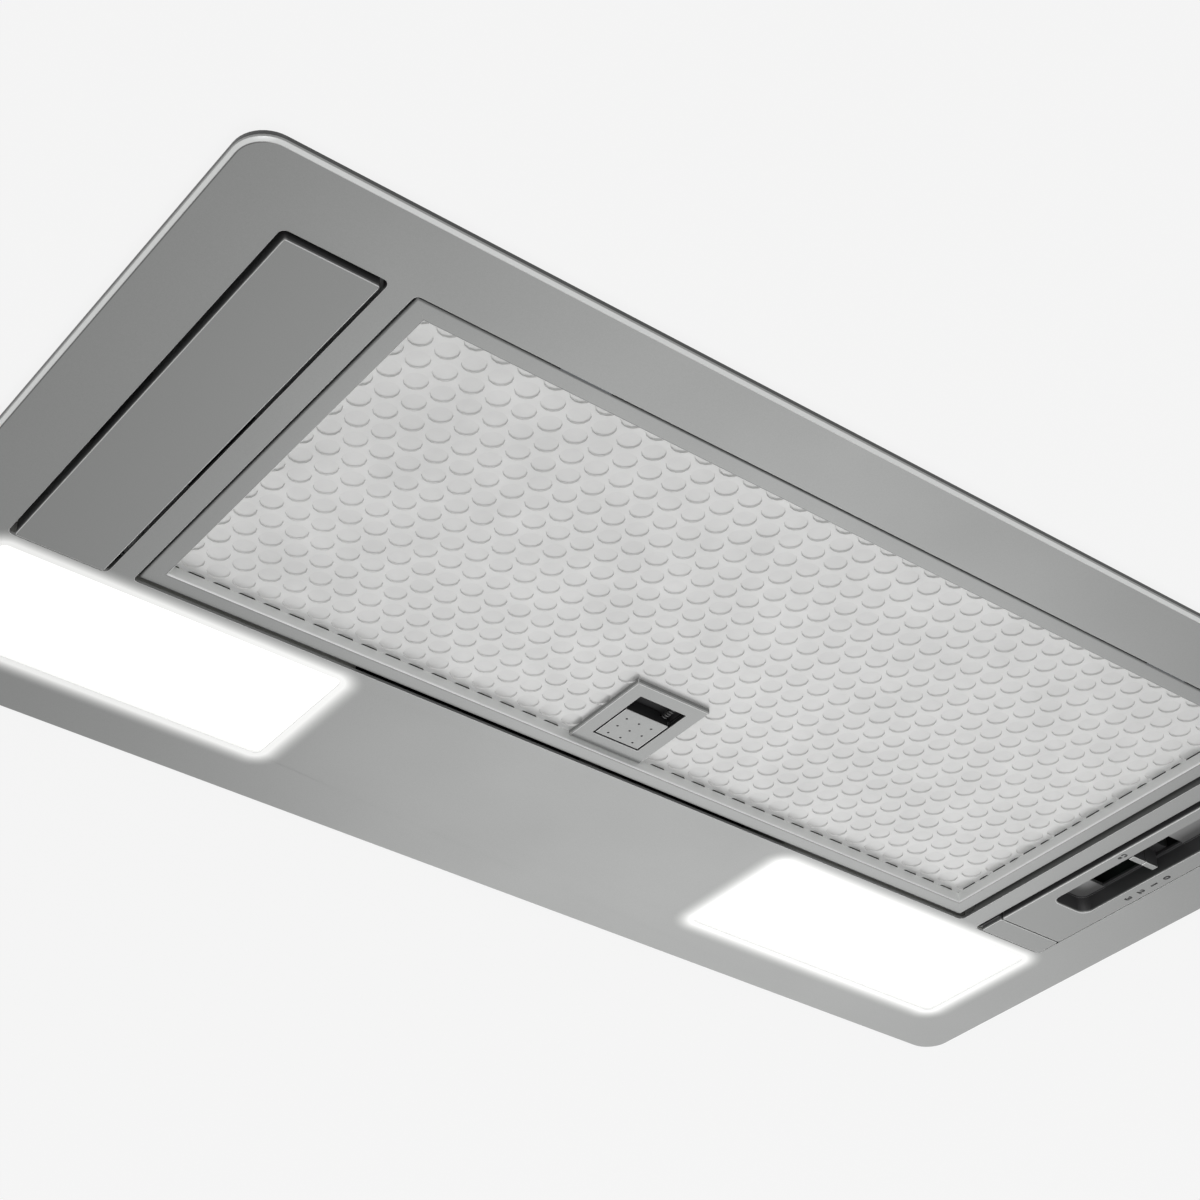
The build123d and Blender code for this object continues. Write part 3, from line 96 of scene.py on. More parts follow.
def colour(label, words, hex_colour):
    return FloatVectorProperty(name=label, description=words, subtype="COLOR", size=3, min=0.0, max=1.0,
                               default=linear(hex_colour))


def length(label, words, millimetres, lowest=0.0):
    return FloatProperty(name=label, description=words, default=millimetres * MM, min=lowest, unit="LENGTH",
                         subtype="DISTANCE", precision=5)


def fraction(label, words, value):
    return FloatProperty(name=label, description=words, default=value, min=0.0, max=1.0)


# ------ settings
class HoodMeshSettings(bpy.types.PropertyGroup):
    pitch: length("Dish pitch", "Between the middles of two dishes in a row", 10.07)
    rim: length("Dish radius", "From a dish's middle to its rim", 4.15)
    flat: length("Dish floor radius", "From a dish's middle to the start of its wall", 3.95)
    depth: length("Dish depth", "How far a dish is pressed into the sheet", 0.5)
    first_x: length("First dish X", "X of the middle of a dish in the even rows", 6.8)
    first_y: length("First dish Y", "Y of the middle of the row nearest Y = 0", -5.45, lowest=-1.0)


class HoodLatchSettings(bpy.types.PropertyGroup):
    pit_pitch: length("Pit pitch", "Between two grip pits of the thumb button", 5.7)
    pit_radius: length("Pit radius", "Radius of a grip pit", 0.5)
    coil_turns: IntProperty(name="Spring turns", description="Turns of the latch spring", default=8, min=2)
    wire_radius: length("Spring wire radius", "Half the thickness of the spring's wire", 0.24)


class HoodSignSettings(bpy.types.PropertyGroup):
    digit_height: length("Digit height", "Height of the numbers beside the trough", 3.0)
    bulb_height: length("Bulb height", "Height of the bulb sign", 4.4)
    line: length("Line width", "Width of the lines of the bulb sign", 0.85)
    print_thickness: length("Print thickness", "How far the print stands off the strip", 0.02)


class HoodColours(bpy.types.PropertyGroup):
    paint: colour("Silver paint", "Satin paint of the plate and the rails", "#848584")
    # Painted highlight: the edges take this lighter tone in place of the light they catch
    edge: colour("Bright edge", "Where the silver paint is thin on an edge", "#dcdddc")
    moulding: colour("Silver moulding", "Painted faces of the strips and the latch", "#858685")
    # Partly the bare moulding's own colour, partly painted shade in recesses and gaps
    shade: colour("Bare moulding", "Unpainted moulding behind the painted faces", "#4a4a4b")
    # Painted light: the trough floor's ends take this lighter grey where light falls on them
    trough: colour("Trough floor", "Thinly sprayed floor of the control strip's trough", "#9a9a9a")
    aluminium: colour("Aluminium", "Rolled aluminium of the mesh sheet", "#ebebea")
    galvanised: colour("Galvanised sheet", "Body, cover and brackets", "#9aa0a4")
    ink: colour("Ink", "Numbers and the bulb sign", "#151515")
    lens: colour("Opal lens", "The lamps' diffusing lenses", "#f6f6f2")


class HoodStageSettings(bpy.types.PropertyGroup):
    floor_colour: colour("Sheet", "Pale sheet that the hood is let into", "#ececec")
    floor_glow: fraction("Sheet glow", "How far the sheet's shadows are lifted to the eye", 0.85)
    background: fraction("Background", "How bright the surroundings look", 1.0)
    daylight: fraction("Daylight", "Strength of the even light", 0.29)


# ------ working by hand
def deselect():
    if bpy.context.mode != "OBJECT":
        bpy.ops.object.mode_set(mode="OBJECT")
    bpy.ops.object.select_all(action="DESELECT")


def take(piece):
    deselect()
    piece.select_set(True)
    bpy.context.view_layer.objects.active = piece


def edit(piece):
    take(piece)
    bpy.ops.object.mode_set(mode="EDIT")
    bpy.ops.mesh.select_mode(type="FACE")


def finish_edit():
    bpy.ops.object.mode_set(mode="OBJECT")


def name_piece(name):
    """The new primitive, named."""
    piece = bpy.context.active_object
    piece.name = name
    piece.data.name = name
    return piece


def choose(piece, kind, test):
    """Selects only those faces, edges or vertices of the piece in edit mode that the test accepts."""
    bpy.ops.mesh.select_mode(type=kind)
    bpy.ops.mesh.select_all(action="DESELECT")
    mesh = bmesh.from_edit_mesh(piece.data)
    parts = {"FACE": mesh.faces, "EDGE": mesh.edges, "VERT": mesh.verts}[kind]
    for part in parts:
        if test(part):
            part.select_set(True)
    mesh.select_flush_mode()
    bmesh.update_edit_mesh(piece.data)


def select_mesh():
    bpy.ops.mesh.select_all(action="SELECT")


def shift_all(step):
    """Moves the whole mesh in edit mode."""
    select_mesh()
    bpy.ops.transform.translate(value=step)


def cut_along(point, normal, **values):
    """Cuts the whole mesh in edit mode with a plane."""
    select_mesh()
    bpy.ops.mesh.bisect(plane_co=point, plane_no=normal, threshold=1e-7, **values)


def middle(part):
    """The middle of a face or an edge."""
    corners = [vertex.co for vertex in part.verts]
    return sum(corners, Vector()) / len(corners)


def modify(piece, kind, apply=True, **values):
    """Adds a modifier with its values, and applies it."""
    modifier = piece.modifiers.new(kind.title(), kind)
    for key, value in values.items():
        setattr(modifier, key, value)
    if apply:
        take(piece)
        bpy.ops.object.modifier_apply(modifier=modifier.name)


def repeat(piece, count, step):
    """Copies the piece's mesh so that it is there count times, a step apart."""
    modify(piece, "ARRAY", use_relative_offset=False, use_constant_offset=True, count=count,
           constant_offset_displace=step)


def place(piece):
    """Moves the object's place, turn and size into its mesh."""
    take(piece)
    bpy.ops.object.transform_apply(location=True, rotation=True, scale=True)


def outward(piece):
    edit(piece)
    select_mesh()
    bpy.ops.mesh.remove_doubles(threshold=1e-6)
    bpy.ops.mesh.normals_make_consistent(inside=False)
    finish_edit()


def smooth(piece, degrees=35):
    take(piece)
    bpy.ops.object.shade_smooth_by_angle(angle=radians(degrees))


def join(name, pieces):
    deselect()
    for piece in pieces:
        piece.select_set(True)
    bpy.context.view_layer.objects.active = pieces[0]
    bpy.ops.object.join()
    return name_piece(name)


def copy_of_node(node, name):
    """A new piece with a merged copy of a CAD node's mesh."""
    piece = bpy.data.objects.new(name, nodes[node].data.copy())
    piece.data.name = name
    bpy.context.scene.collection.objects.link(piece)
    outward(piece)
    return piece


def in_material(piece, *materials):
    piece.data.materials.clear()
    for material in materials:
        piece.data.materials.append(material)


# ------ shader nodes
def add(material, kind, settings=None, to=None, **inputs):
    """Adds a shader node: its settings, then its inputs by name, or by number as in _1=0.5.

    An input is a value or another node's output. The node's first output goes on to the
    input that is given as to."""
    node = material.node_tree.nodes.new(kind)
    for key, value in (settings or {}).items():
        setattr(node, key, value)
    for key, value in inputs.items():
        socket = node.inputs[int(key[1:])] if key[0] == "_" else node.inputs[key.replace("_", " ")]
        if isinstance(value, bpy.types.NodeSocket):
            material.node_tree.links.new(value, socket)
        else:
            socket.default_value = value
    if to is not None:
        material.node_tree.links.new(node.outputs[0], to)
    return node


def start(name, rgb, metallic, roughness, **more):
    """A material with its shader: returns the material, the shader and the object coordinates."""
    material = bpy.data.materials.new(name)
    material.use_nodes = True
    material.node_tree.nodes.clear()
    shader = add(material, "ShaderNodeBsdfPrincipled", Base_Color=(*rgb, 1), Metallic=metallic,
                 Roughness=roughness, **more)
    add(material, "ShaderNodeOutputMaterial", Surface=shader.outputs["BSDF"])
    place_node = add(material, "ShaderNodeTexCoord")
    return material, shader, place_node.outputs["Object"]


def vary_colour(material, shader, pattern, low, high):
    """Lets a pattern move the colour between two colours, and returns that colour's output."""
    ramp = add(material, "ShaderNodeValToRGB", to=shader.inputs["Base Color"], Fac=pattern)
    ramp.color_ramp.elements[0].position = 0.3
    ramp.color_ramp.elements[1].position = 0.7
    ramp.color_ramp.elements[0].color = (*low, 1)
    ramp.color_ramp.elements[1].color = (*high, 1)
    return ramp.outputs["Color"]


def tinted(rgb, factor):
    return tuple(min(value * factor, 1.0) for value in rgb)


def share_where(material, *steps):
    """1 where every step holds and 0 where one doesn't.

    A step is a measure, the value at which it starts to hold and the one from which it holds."""
    share = None
    for measure, none, all_of_it in steps:
        step = add(material, "ShaderNodeMapRange", Value=measure, From_Min=none, From_Max=all_of_it)
        if share is None:
            share = step.outputs["Result"]
        else:
            share = add(material, "ShaderNodeMath", {"operation": "MULTIPLY"}, _0=share,
                        _1=step.outputs["Result"]).outputs["Value"]
    return share


def lay_tones(material, shader, coloured, *layers):
    """Lays tones over a colour, each with its share, and returns the last colour's output."""
    for share, tone in layers:
        mixed = add(material, "ShaderNodeMix", {"data_type": "RGBA"}, _0=share, _6=coloured, _7=(*tone, 1))
        coloured = mixed.outputs[2]
    material.node_tree.links.new(coloured, shader.inputs["Base Color"])
    return coloured


def past_outline(material, where, low, high, corner_radius):
    """How far a place lies outside a rounded outline, seen from above; below 0 just inside it."""
    centre = ((low[0] + high[0]) / 2, (low[1] + high[1]) / 2, 0.0)
    half = ((high[0] - low[0]) / 2 - corner_radius, (high[1] - low[1]) / 2 - corner_radius, 0.0)
    reached = where
    for operation, operand in (("MULTIPLY", (1.0, 1.0, 0.0)), ("SUBTRACT", centre), ("ABSOLUTE", None),
                               ("SUBTRACT", half), ("MAXIMUM", (0.0, 0.0, 0.0))):
        second = {"_1": operand} if operand else {}
        reached = add(material, "ShaderNodeVectorMath", {"operation": operation}, _0=reached,
                      **second).outputs["Vector"]
    distance = add(material, "ShaderNodeVectorMath", {"operation": "LENGTH"}, _0=reached)
    past = add(material, "ShaderNodeMath", {"operation": "SUBTRACT"}, _0=distance.outputs["Value"],
               _1=corner_radius)
    return past.outputs["Value"]


def past_lenses(material, where):
    """How far a place lies outside the nearer lens: the left half is folded onto the right one."""
    low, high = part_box("lamp_lens_right")
    parts = add(material, "ShaderNodeSeparateXYZ", Vector=where)
    side = add(material, "ShaderNodeMath", {"operation": "ABSOLUTE"}, _0=parts.outputs["X"])
    folded = add(material, "ShaderNodeCombineXYZ", X=side.outputs["Value"], Y=parts.outputs["Y"],
                 Z=parts.outputs["Z"])
    return past_outline(material, folded.outputs["Vector"], low, high, LENS_CORNER)


def rail_opening():
    """The opening inside the four rails, as two corners in X and Y."""
    return ((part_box("filter_rail_left")[1].x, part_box("filter_rail_front")[1].y),
            (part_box("filter_rail_right")[0].x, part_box("filter_rail_rear")[0].y))


# ------ finishes
# A pattern's scale is its cells to a millimetre: 0.5 / MM makes cells 2 mm wide
def satin_paint(name, rgb):
    """Silver paint baked on steel: faint orange peel a millimetre across, fine metal flake."""
    material, shader, where = start(name, rgb, 0.35, 0.42, Coat_Weight=0.12, Coat_Roughness=0.3)
    flake = add(material, "ShaderNodeTexNoise", Vector=where, Scale=3.2 / MM, Detail=2.0)
    paint = vary_colour(material, shader, flake.outputs["Fac"], tinted(rgb, 0.96), tinted(rgb, 1.04))
    cloud = add(material, "ShaderNodeTexNoise", Vector=where, Scale=0.014 / MM, Detail=3.0)
    add(material, "ShaderNodeMapRange", to=shader.inputs["Roughness"], Value=cloud.outputs["Fac"],
        To_Min=0.38, To_Max=0.46)
    peel = add(material, "ShaderNodeTexNoise", Vector=where, Scale=0.9 / MM, Detail=2.0)
    add(material, "ShaderNodeBump", to=shader.inputs["Normal"], Strength=0.05, Distance=0.04 * MM,
        Height=peel.outputs["Fac"])
    return material, shader, where, paint


def plate_paint(name, rgb, highlight_tone):
    """The plate's paint with painted light: a highlight on the rim's chamfer, a lit rim wall, a shadow at its
    foot, a shaded crease at the left, a glow round the lenses.
    """
    material, shader, where, paint = satin_paint(name, rgb)
    low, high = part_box("underside_plate")
    parts = add(material, "ShaderNodeSeparateXYZ", Vector=where)
    x, z = parts.outputs["X"], parts.outputs["Z"]
    past = past_outline(material, where, low, high, PLATE_CORNER)
    below_wall, above_chamfer = low.z + 0.95 * MM, low.z + 1.1 * MM
    # Painted light and shade on the rim: a highlight on the chamfer, a lighter outer wall, a shadow at the
    # wall's foot, a darker crease at the left end
    chamfer = share_where(material, (past, -1.2 * MM, -1.0 * MM), (z, above_chamfer, below_wall))
    wall = share_where(material, (past, -0.3 * MM, -0.1 * MM), (z, below_wall, above_chamfer))
    shadow_at_foot = share_where(material, (past, -0.3 * MM, -0.1 * MM), (z, low.z + 1.85 * MM, low.z + 1.95 * MM))
    shade_in_crease_at_left = share_where(material, (past, -1.65 * MM, -1.5 * MM), (past, -1.0 * MM, -1.15 * MM),
                                 (x, low.x + 8 * MM, low.x + 3 * MM))
    lay_tones(material, shader, paint, (chamfer, tinted(highlight_tone, 1.25)), (wall, tinted(rgb, 1.5)),
              (shadow_at_foot, tinted(rgb, 0.25)), (shade_in_crease_at_left, tinted(rgb, 0.4)))
    # Painted light: the plate glows round the two lenses, as if lit by them
    from_lens = past_lenses(material, where)
    halo = share_where(material, (from_lens, HALO_REACH, 0.0), (from_lens, HALO_REACH, 0.0))
    shader.inputs["Emission Color"].default_value = LAMP_LIGHT
    add(material, "ShaderNodeMath", {"operation": "MULTIPLY"}, to=shader.inputs["Emission Strength"],
        _0=halo, _1=HALO_STRENGTH)
    return material


def rail_paint(name, rgb, highlight_tone):
    """The rails' paint: painted light on the lip round the mesh, and a painted highlight on its edge."""
    material, shader, where, paint = satin_paint(name, rgb)
    z = add(material, "ShaderNodeSeparateXYZ", Vector=where).outputs["Z"]
    past = past_outline(material, where, *rail_opening(), 0.0)
    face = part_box("filter_rail_left")[0].z
    lip = (past, 0.45 * MM, 0.35 * MM)
    edge = (z, face + 0.7 * MM, face + 0.6 * MM)
    # The lip's lighter tone is painted light, its edge a painted highlight
    lay_tones(material, shader, paint, (share_where(material, lip), highlight_tone),
              (share_where(material, lip, edge), (0.97, 0.97, 0.97)))
    return material


def painted_moulding(name, rgb, bare, painted_below):
    """A dark moulding sprayed silver on its face: what lies deeper stays dark grey, partly bare moulding and
    partly painted shade.
    """
    material, shader, where = start(name, rgb, 0.3, 0.42)
    flake = add(material, "ShaderNodeTexNoise", Vector=where, Scale=3 / MM, Detail=2.0)
    sprayed = vary_colour(material, shader, flake.outputs["Fac"], tinted(rgb, 0.96), tinted(rgb, 1.04))
    z = add(material, "ShaderNodeSeparateXYZ", Vector=where).outputs["Z"]
    # Deeper than the spray: dark grey, partly bare moulding and partly painted shade
    deep = share_where(material, (z, painted_below - 0.1 * MM, painted_below + 0.1 * MM))
    coloured = lay_tones(material, shader, sprayed, (deep, bare))
    add(material, "ShaderNodeMapRange", to=shader.inputs["Metallic"], Value=deep, To_Min=0.3, To_Max=0.0)
    grain = add(material, "ShaderNodeTexNoise", Vector=where, Scale=1.5 / MM, Detail=3.0)
    add(material, "ShaderNodeMapRange", to=shader.inputs["Roughness"], Value=grain.outputs["Fac"],
        To_Min=0.38, To_Max=0.5)
    add(material, "ShaderNodeBump", to=shader.inputs["Normal"], Strength=0.06, Distance=0.03 * MM,
        Height=grain.outputs["Fac"])
    return material, shader, where, coloured


def trough_moulding(name, rgb, bare, floor, highlight_tone):
    """The strips' moulding: both ends of the trough's floor lighter, painted light, with a painted highlight
    round their edge.
    """
    material, shader, where, coloured = painted_moulding(name, rgb, bare, STRIP_SPRAY)
    parts = add(material, "ShaderNodeSeparateXYZ", Vector=where)
    beside = add(material, "ShaderNodeMath", {"operation": "SUBTRACT"}, _0=parts.outputs["Y"],
                 _1=SLOT_MIDDLE_Y)
    from_slot = add(material, "ShaderNodeMath", {"operation": "ABSOLUTE"}, _0=beside.outputs["Value"])
    past = past_outline(material, where, TROUGH_LOW, TROUGH_HIGH, TROUGH_CORNER)
    ends = (from_slot.outputs["Value"], 21.2 * MM, 21.3 * MM), (parts.outputs["Z"], 7.0 * MM, 7.1 * MM)
    rim = (past, -0.45 * MM, -0.35 * MM)
    # Painted light on the floor's ends and a painted highlight round their edge
    lay_tones(material, shader, coloured, (share_where(material, *ends), floor),
              (share_where(material, *ends, rim), highlight_tone))
    return material


def latch_moulding(name, rgb, bare):
    """The latch plate's moulding: sprayed on its face and outer sides; inside its window painted shade on the
    walls and painted light on the pocket's deep floor.
    """
    material, shader, where, coloured = painted_moulding(name, rgb, bare, LATCH_SPRAY)
    low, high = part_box("latch_housing")
    window_low = (low.x + LATCH_FRAME, low.y + LATCH_FRAME)
    window_high = (high.x - LATCH_FRAME, high.y - LATCH_FRAME)
    z = add(material, "ShaderNodeSeparateXYZ", Vector=where).outputs["Z"]
    inside = (past_outline(material, where, window_low, window_high, 0.0), 0.1 * MM, 0.0)
    # Painted shade on the window's walls, painted light on the pocket's deep floor
    deep = share_where(material, inside, (z, low.z + 0.3 * MM, low.z + 0.4 * MM))
    floor = share_where(material, inside, (z, low.z + 3.2 * MM, low.z + 3.6 * MM))
    lay_tones(material, shader, coloured, (deep, tinted(bare, 0.3)), (floor, tinted(bare, 1.6)))
    return material


def rolled_aluminium(name, rgb, roughness, metallic=0.55):
    """Mill-finished aluminium: fine rolling lines along X and soft cloudy patches."""
    material, shader, where = start(name, rgb, metallic, roughness)
    drawn = add(material, "ShaderNodeMapping", Vector=where, Scale=(0.04 / MM, 2.5 / MM, 2.5 / MM))
    lines = add(material, "ShaderNodeTexNoise", Vector=drawn.outputs["Vector"], Scale=1.0, Detail=2.0)
    cloud = add(material, "ShaderNodeTexNoise", Vector=where, Scale=0.06 / MM, Detail=3.0)
    vary_colour(material, shader, cloud.outputs["Fac"], tinted(rgb, 0.95), tinted(rgb, 1.04))
    add(material, "ShaderNodeMapRange", to=shader.inputs["Roughness"], Value=lines.outputs["Fac"],
        To_Min=roughness - 0.06, To_Max=roughness + 0.06)
    add(material, "ShaderNodeBump", to=shader.inputs["Normal"], Strength=0.03, Distance=0.02 * MM,
        Height=lines.outputs["Fac"])
    return material


def galvanised_sheet(name, rgb):
    """Hot-dipped zinc: spangle crystals about 6 mm across, each with its own tone and sheen."""
    material, shader, where = start(name, rgb, 0.85, 0.4)
    crystals = add(material, "ShaderNodeTexVoronoi", Vector=where, Scale=0.17 / MM)
    tone = add(material, "ShaderNodeRGBToBW", Color=crystals.outputs["Color"])
    vary_colour(material, shader, tone.outputs["Val"], tinted(rgb, 0.86), tinted(rgb, 1.1))
    add(material, "ShaderNodeMapRange", to=shader.inputs["Roughness"], Value=tone.outputs["Val"],
        To_Min=0.3, To_Max=0.5)
    dust = add(material, "ShaderNodeTexNoise", Vector=where, Scale=0.7 / MM, Detail=3.0)
    add(material, "ShaderNodeBump", to=shader.inputs["Normal"], Strength=0.04, Distance=0.03 * MM,
        Height=dust.outputs["Fac"])
    return material


def bright_metal(name, rgb, roughness):
    """Plated or ground steel: small scratches and a slightly uneven sheen."""
    material, shader, where = start(name, rgb, 0.95, roughness)
    scratch = add(material, "ShaderNodeMapping", Vector=where, Rotation=(0.3, 0.5, 0.2),
                  Scale=(3 / MM, 0.09 / MM, 0.09 / MM))
    lines = add(material, "ShaderNodeTexNoise", Vector=scratch.outputs["Vector"], Scale=1.0, Detail=3.0)
    vary_colour(material, shader, lines.outputs["Fac"], tinted(rgb, 0.92), tinted(rgb, 1.05))
    add(material, "ShaderNodeMapRange", to=shader.inputs["Roughness"], Value=lines.outputs["Fac"],
        To_Min=roughness - 0.08, To_Max=roughness + 0.1)
    add(material, "ShaderNodeBump", to=shader.inputs["Normal"], Strength=0.04, Distance=0.02 * MM,
        Height=lines.outputs["Fac"])
    return material


def grained_plastic(name, rgb, roughness):
    """Injection-moulded plastic with a spark-eroded grain about half a millimetre across."""
    material, shader, where = start(name, rgb, 0.0, roughness)
    grain = add(material, "ShaderNodeTexNoise", Vector=where, Scale=1.9 / MM, Detail=3.0)
    add(material, "ShaderNodeMapRange", to=shader.inputs["Roughness"], Value=grain.outputs["Fac"],
        To_Min=roughness - 0.05, To_Max=roughness + 0.08)
    flow = add(material, "ShaderNodeTexNoise", Vector=where, Scale=0.025 / MM, Detail=2.0)
    vary_colour(material, shader, flow.outputs["Fac"], tinted(rgb, 0.93), tinted(rgb, 1.07))
    add(material, "ShaderNodeBump", to=shader.inputs["Normal"], Strength=0.12, Distance=0.05 * MM,
        Height=grain.outputs["Fac"])
    return material


def solder_mask(name, rgb):
    """A printed board: glossy mask over copper tracks that run along the board."""
    material, shader, where = start(name, rgb, 0.0, 0.3, Coat_Weight=0.3, Coat_Roughness=0.15)
    tracks = add(material, "ShaderNodeTexBrick", Vector=where, Scale=0.07 / MM, Color1=(1, 1, 1, 1),
                 Color2=(0.85, 0.85, 0.85, 1), Mortar=(0, 0, 0, 1), Mortar_Size=0.03)
    tone = add(material, "ShaderNodeRGBToBW", Color=tracks.outputs["Color"])
    vary_colour(material, shader, tone.outputs["Val"], tinted(rgb, 1.15), rgb)
    add(material, "ShaderNodeBump", to=shader.inputs["Normal"], Strength=0.15, Distance=0.04 * MM,
        Height=tone.outputs["Val"])
    return material


def stacked_core(name, rgb):
    """Half-millimetre laminations stacked along the shaft, varnished."""
    material, shader, where = start(name, rgb, 0.7, 0.5)
    wave = add(material, "ShaderNodeTexWave", {"bands_direction": "X"}, Vector=where, Scale=0.32 / MM,
               Distortion=0.1)
    layers = wave.outputs["Fac"]
    vary_colour(material, shader, layers, tinted(rgb, 0.6), tinted(rgb, 1.3))
    add(material, "ShaderNodeBump", to=shader.inputs["Normal"], Strength=0.4, Distance=0.1 * MM,
        Height=layers)
    add(material, "ShaderNodeMapRange", to=shader.inputs["Roughness"], Value=layers,
        To_Min=0.42, To_Max=0.6)
    return material


def soft_rubber(name, rgb):
    """Black rubber with a dusty, uneven bloom."""
    material, shader, where = start(name, rgb, 0.0, 0.75)
    bloom = add(material, "ShaderNodeTexNoise", Vector=where, Scale=0.24 / MM, Detail=4.0)
    vary_colour(material, shader, bloom.outputs["Fac"], rgb, tinted(rgb, 1.7))
    add(material, "ShaderNodeBump", to=shader.inputs["Normal"], Strength=0.1, Distance=0.06 * MM,
        Height=bloom.outputs["Fac"])
    return material


def lit_opal(name, rgb):
    """An opal lens with the lamp behind it on: light spreads in it, a little less at the edges."""
    material, shader, where = start(name, rgb, 0.0, 0.35, Emission_Color=LAMP_LIGHT,
                                    Subsurface_Weight=0.0)
    past = past_lenses(material, where)
    add(material, "ShaderNodeMapRange", to=shader.inputs["Emission Strength"], Value=past,
        From_Min=0.9 * MM, From_Max=2.4 * MM, To_Min=0.95, To_Max=0.35)
    haze = add(material, "ShaderNodeTexNoise", Vector=where, Scale=0.03 / MM, Detail=2.0)
    add(material, "ShaderNodeMapRange", to=shader.inputs["Roughness"], Value=haze.outputs["Fac"],
        To_Min=0.3, To_Max=0.42)
    fine = add(material, "ShaderNodeTexNoise", Vector=where, Scale=1.4 / MM, Detail=2.0)
    add(material, "ShaderNodeBump", to=shader.inputs["Normal"], Strength=0.05, Distance=0.03 * MM,
        Height=fine.outputs["Fac"])
    return material


def printed_ink(name, rgb):
    """Pad-printed ink: dull, with a slightly broken surface."""
    material, shader, where = start(name, rgb, 0.0, 0.6)
    speck = add(material, "ShaderNodeTexNoise", Vector=where, Scale=5 / MM, Detail=2.0)
    vary_colour(material, shader, speck.outputs["Fac"], tinted(rgb, 0.9), tinted(rgb, 1.3))
    return material


finishes = {}

# The second finish of these nodes, which their rounded edges take: a lighter tone, a painted highlight
EDGE_FINISH = {
    "paint_edge": ["underside_plate", *RAILS],
    "strip_edge": STRIPS,
    "fin_edge": FINS,
    "latch_edge": ["latch_housing"],
}


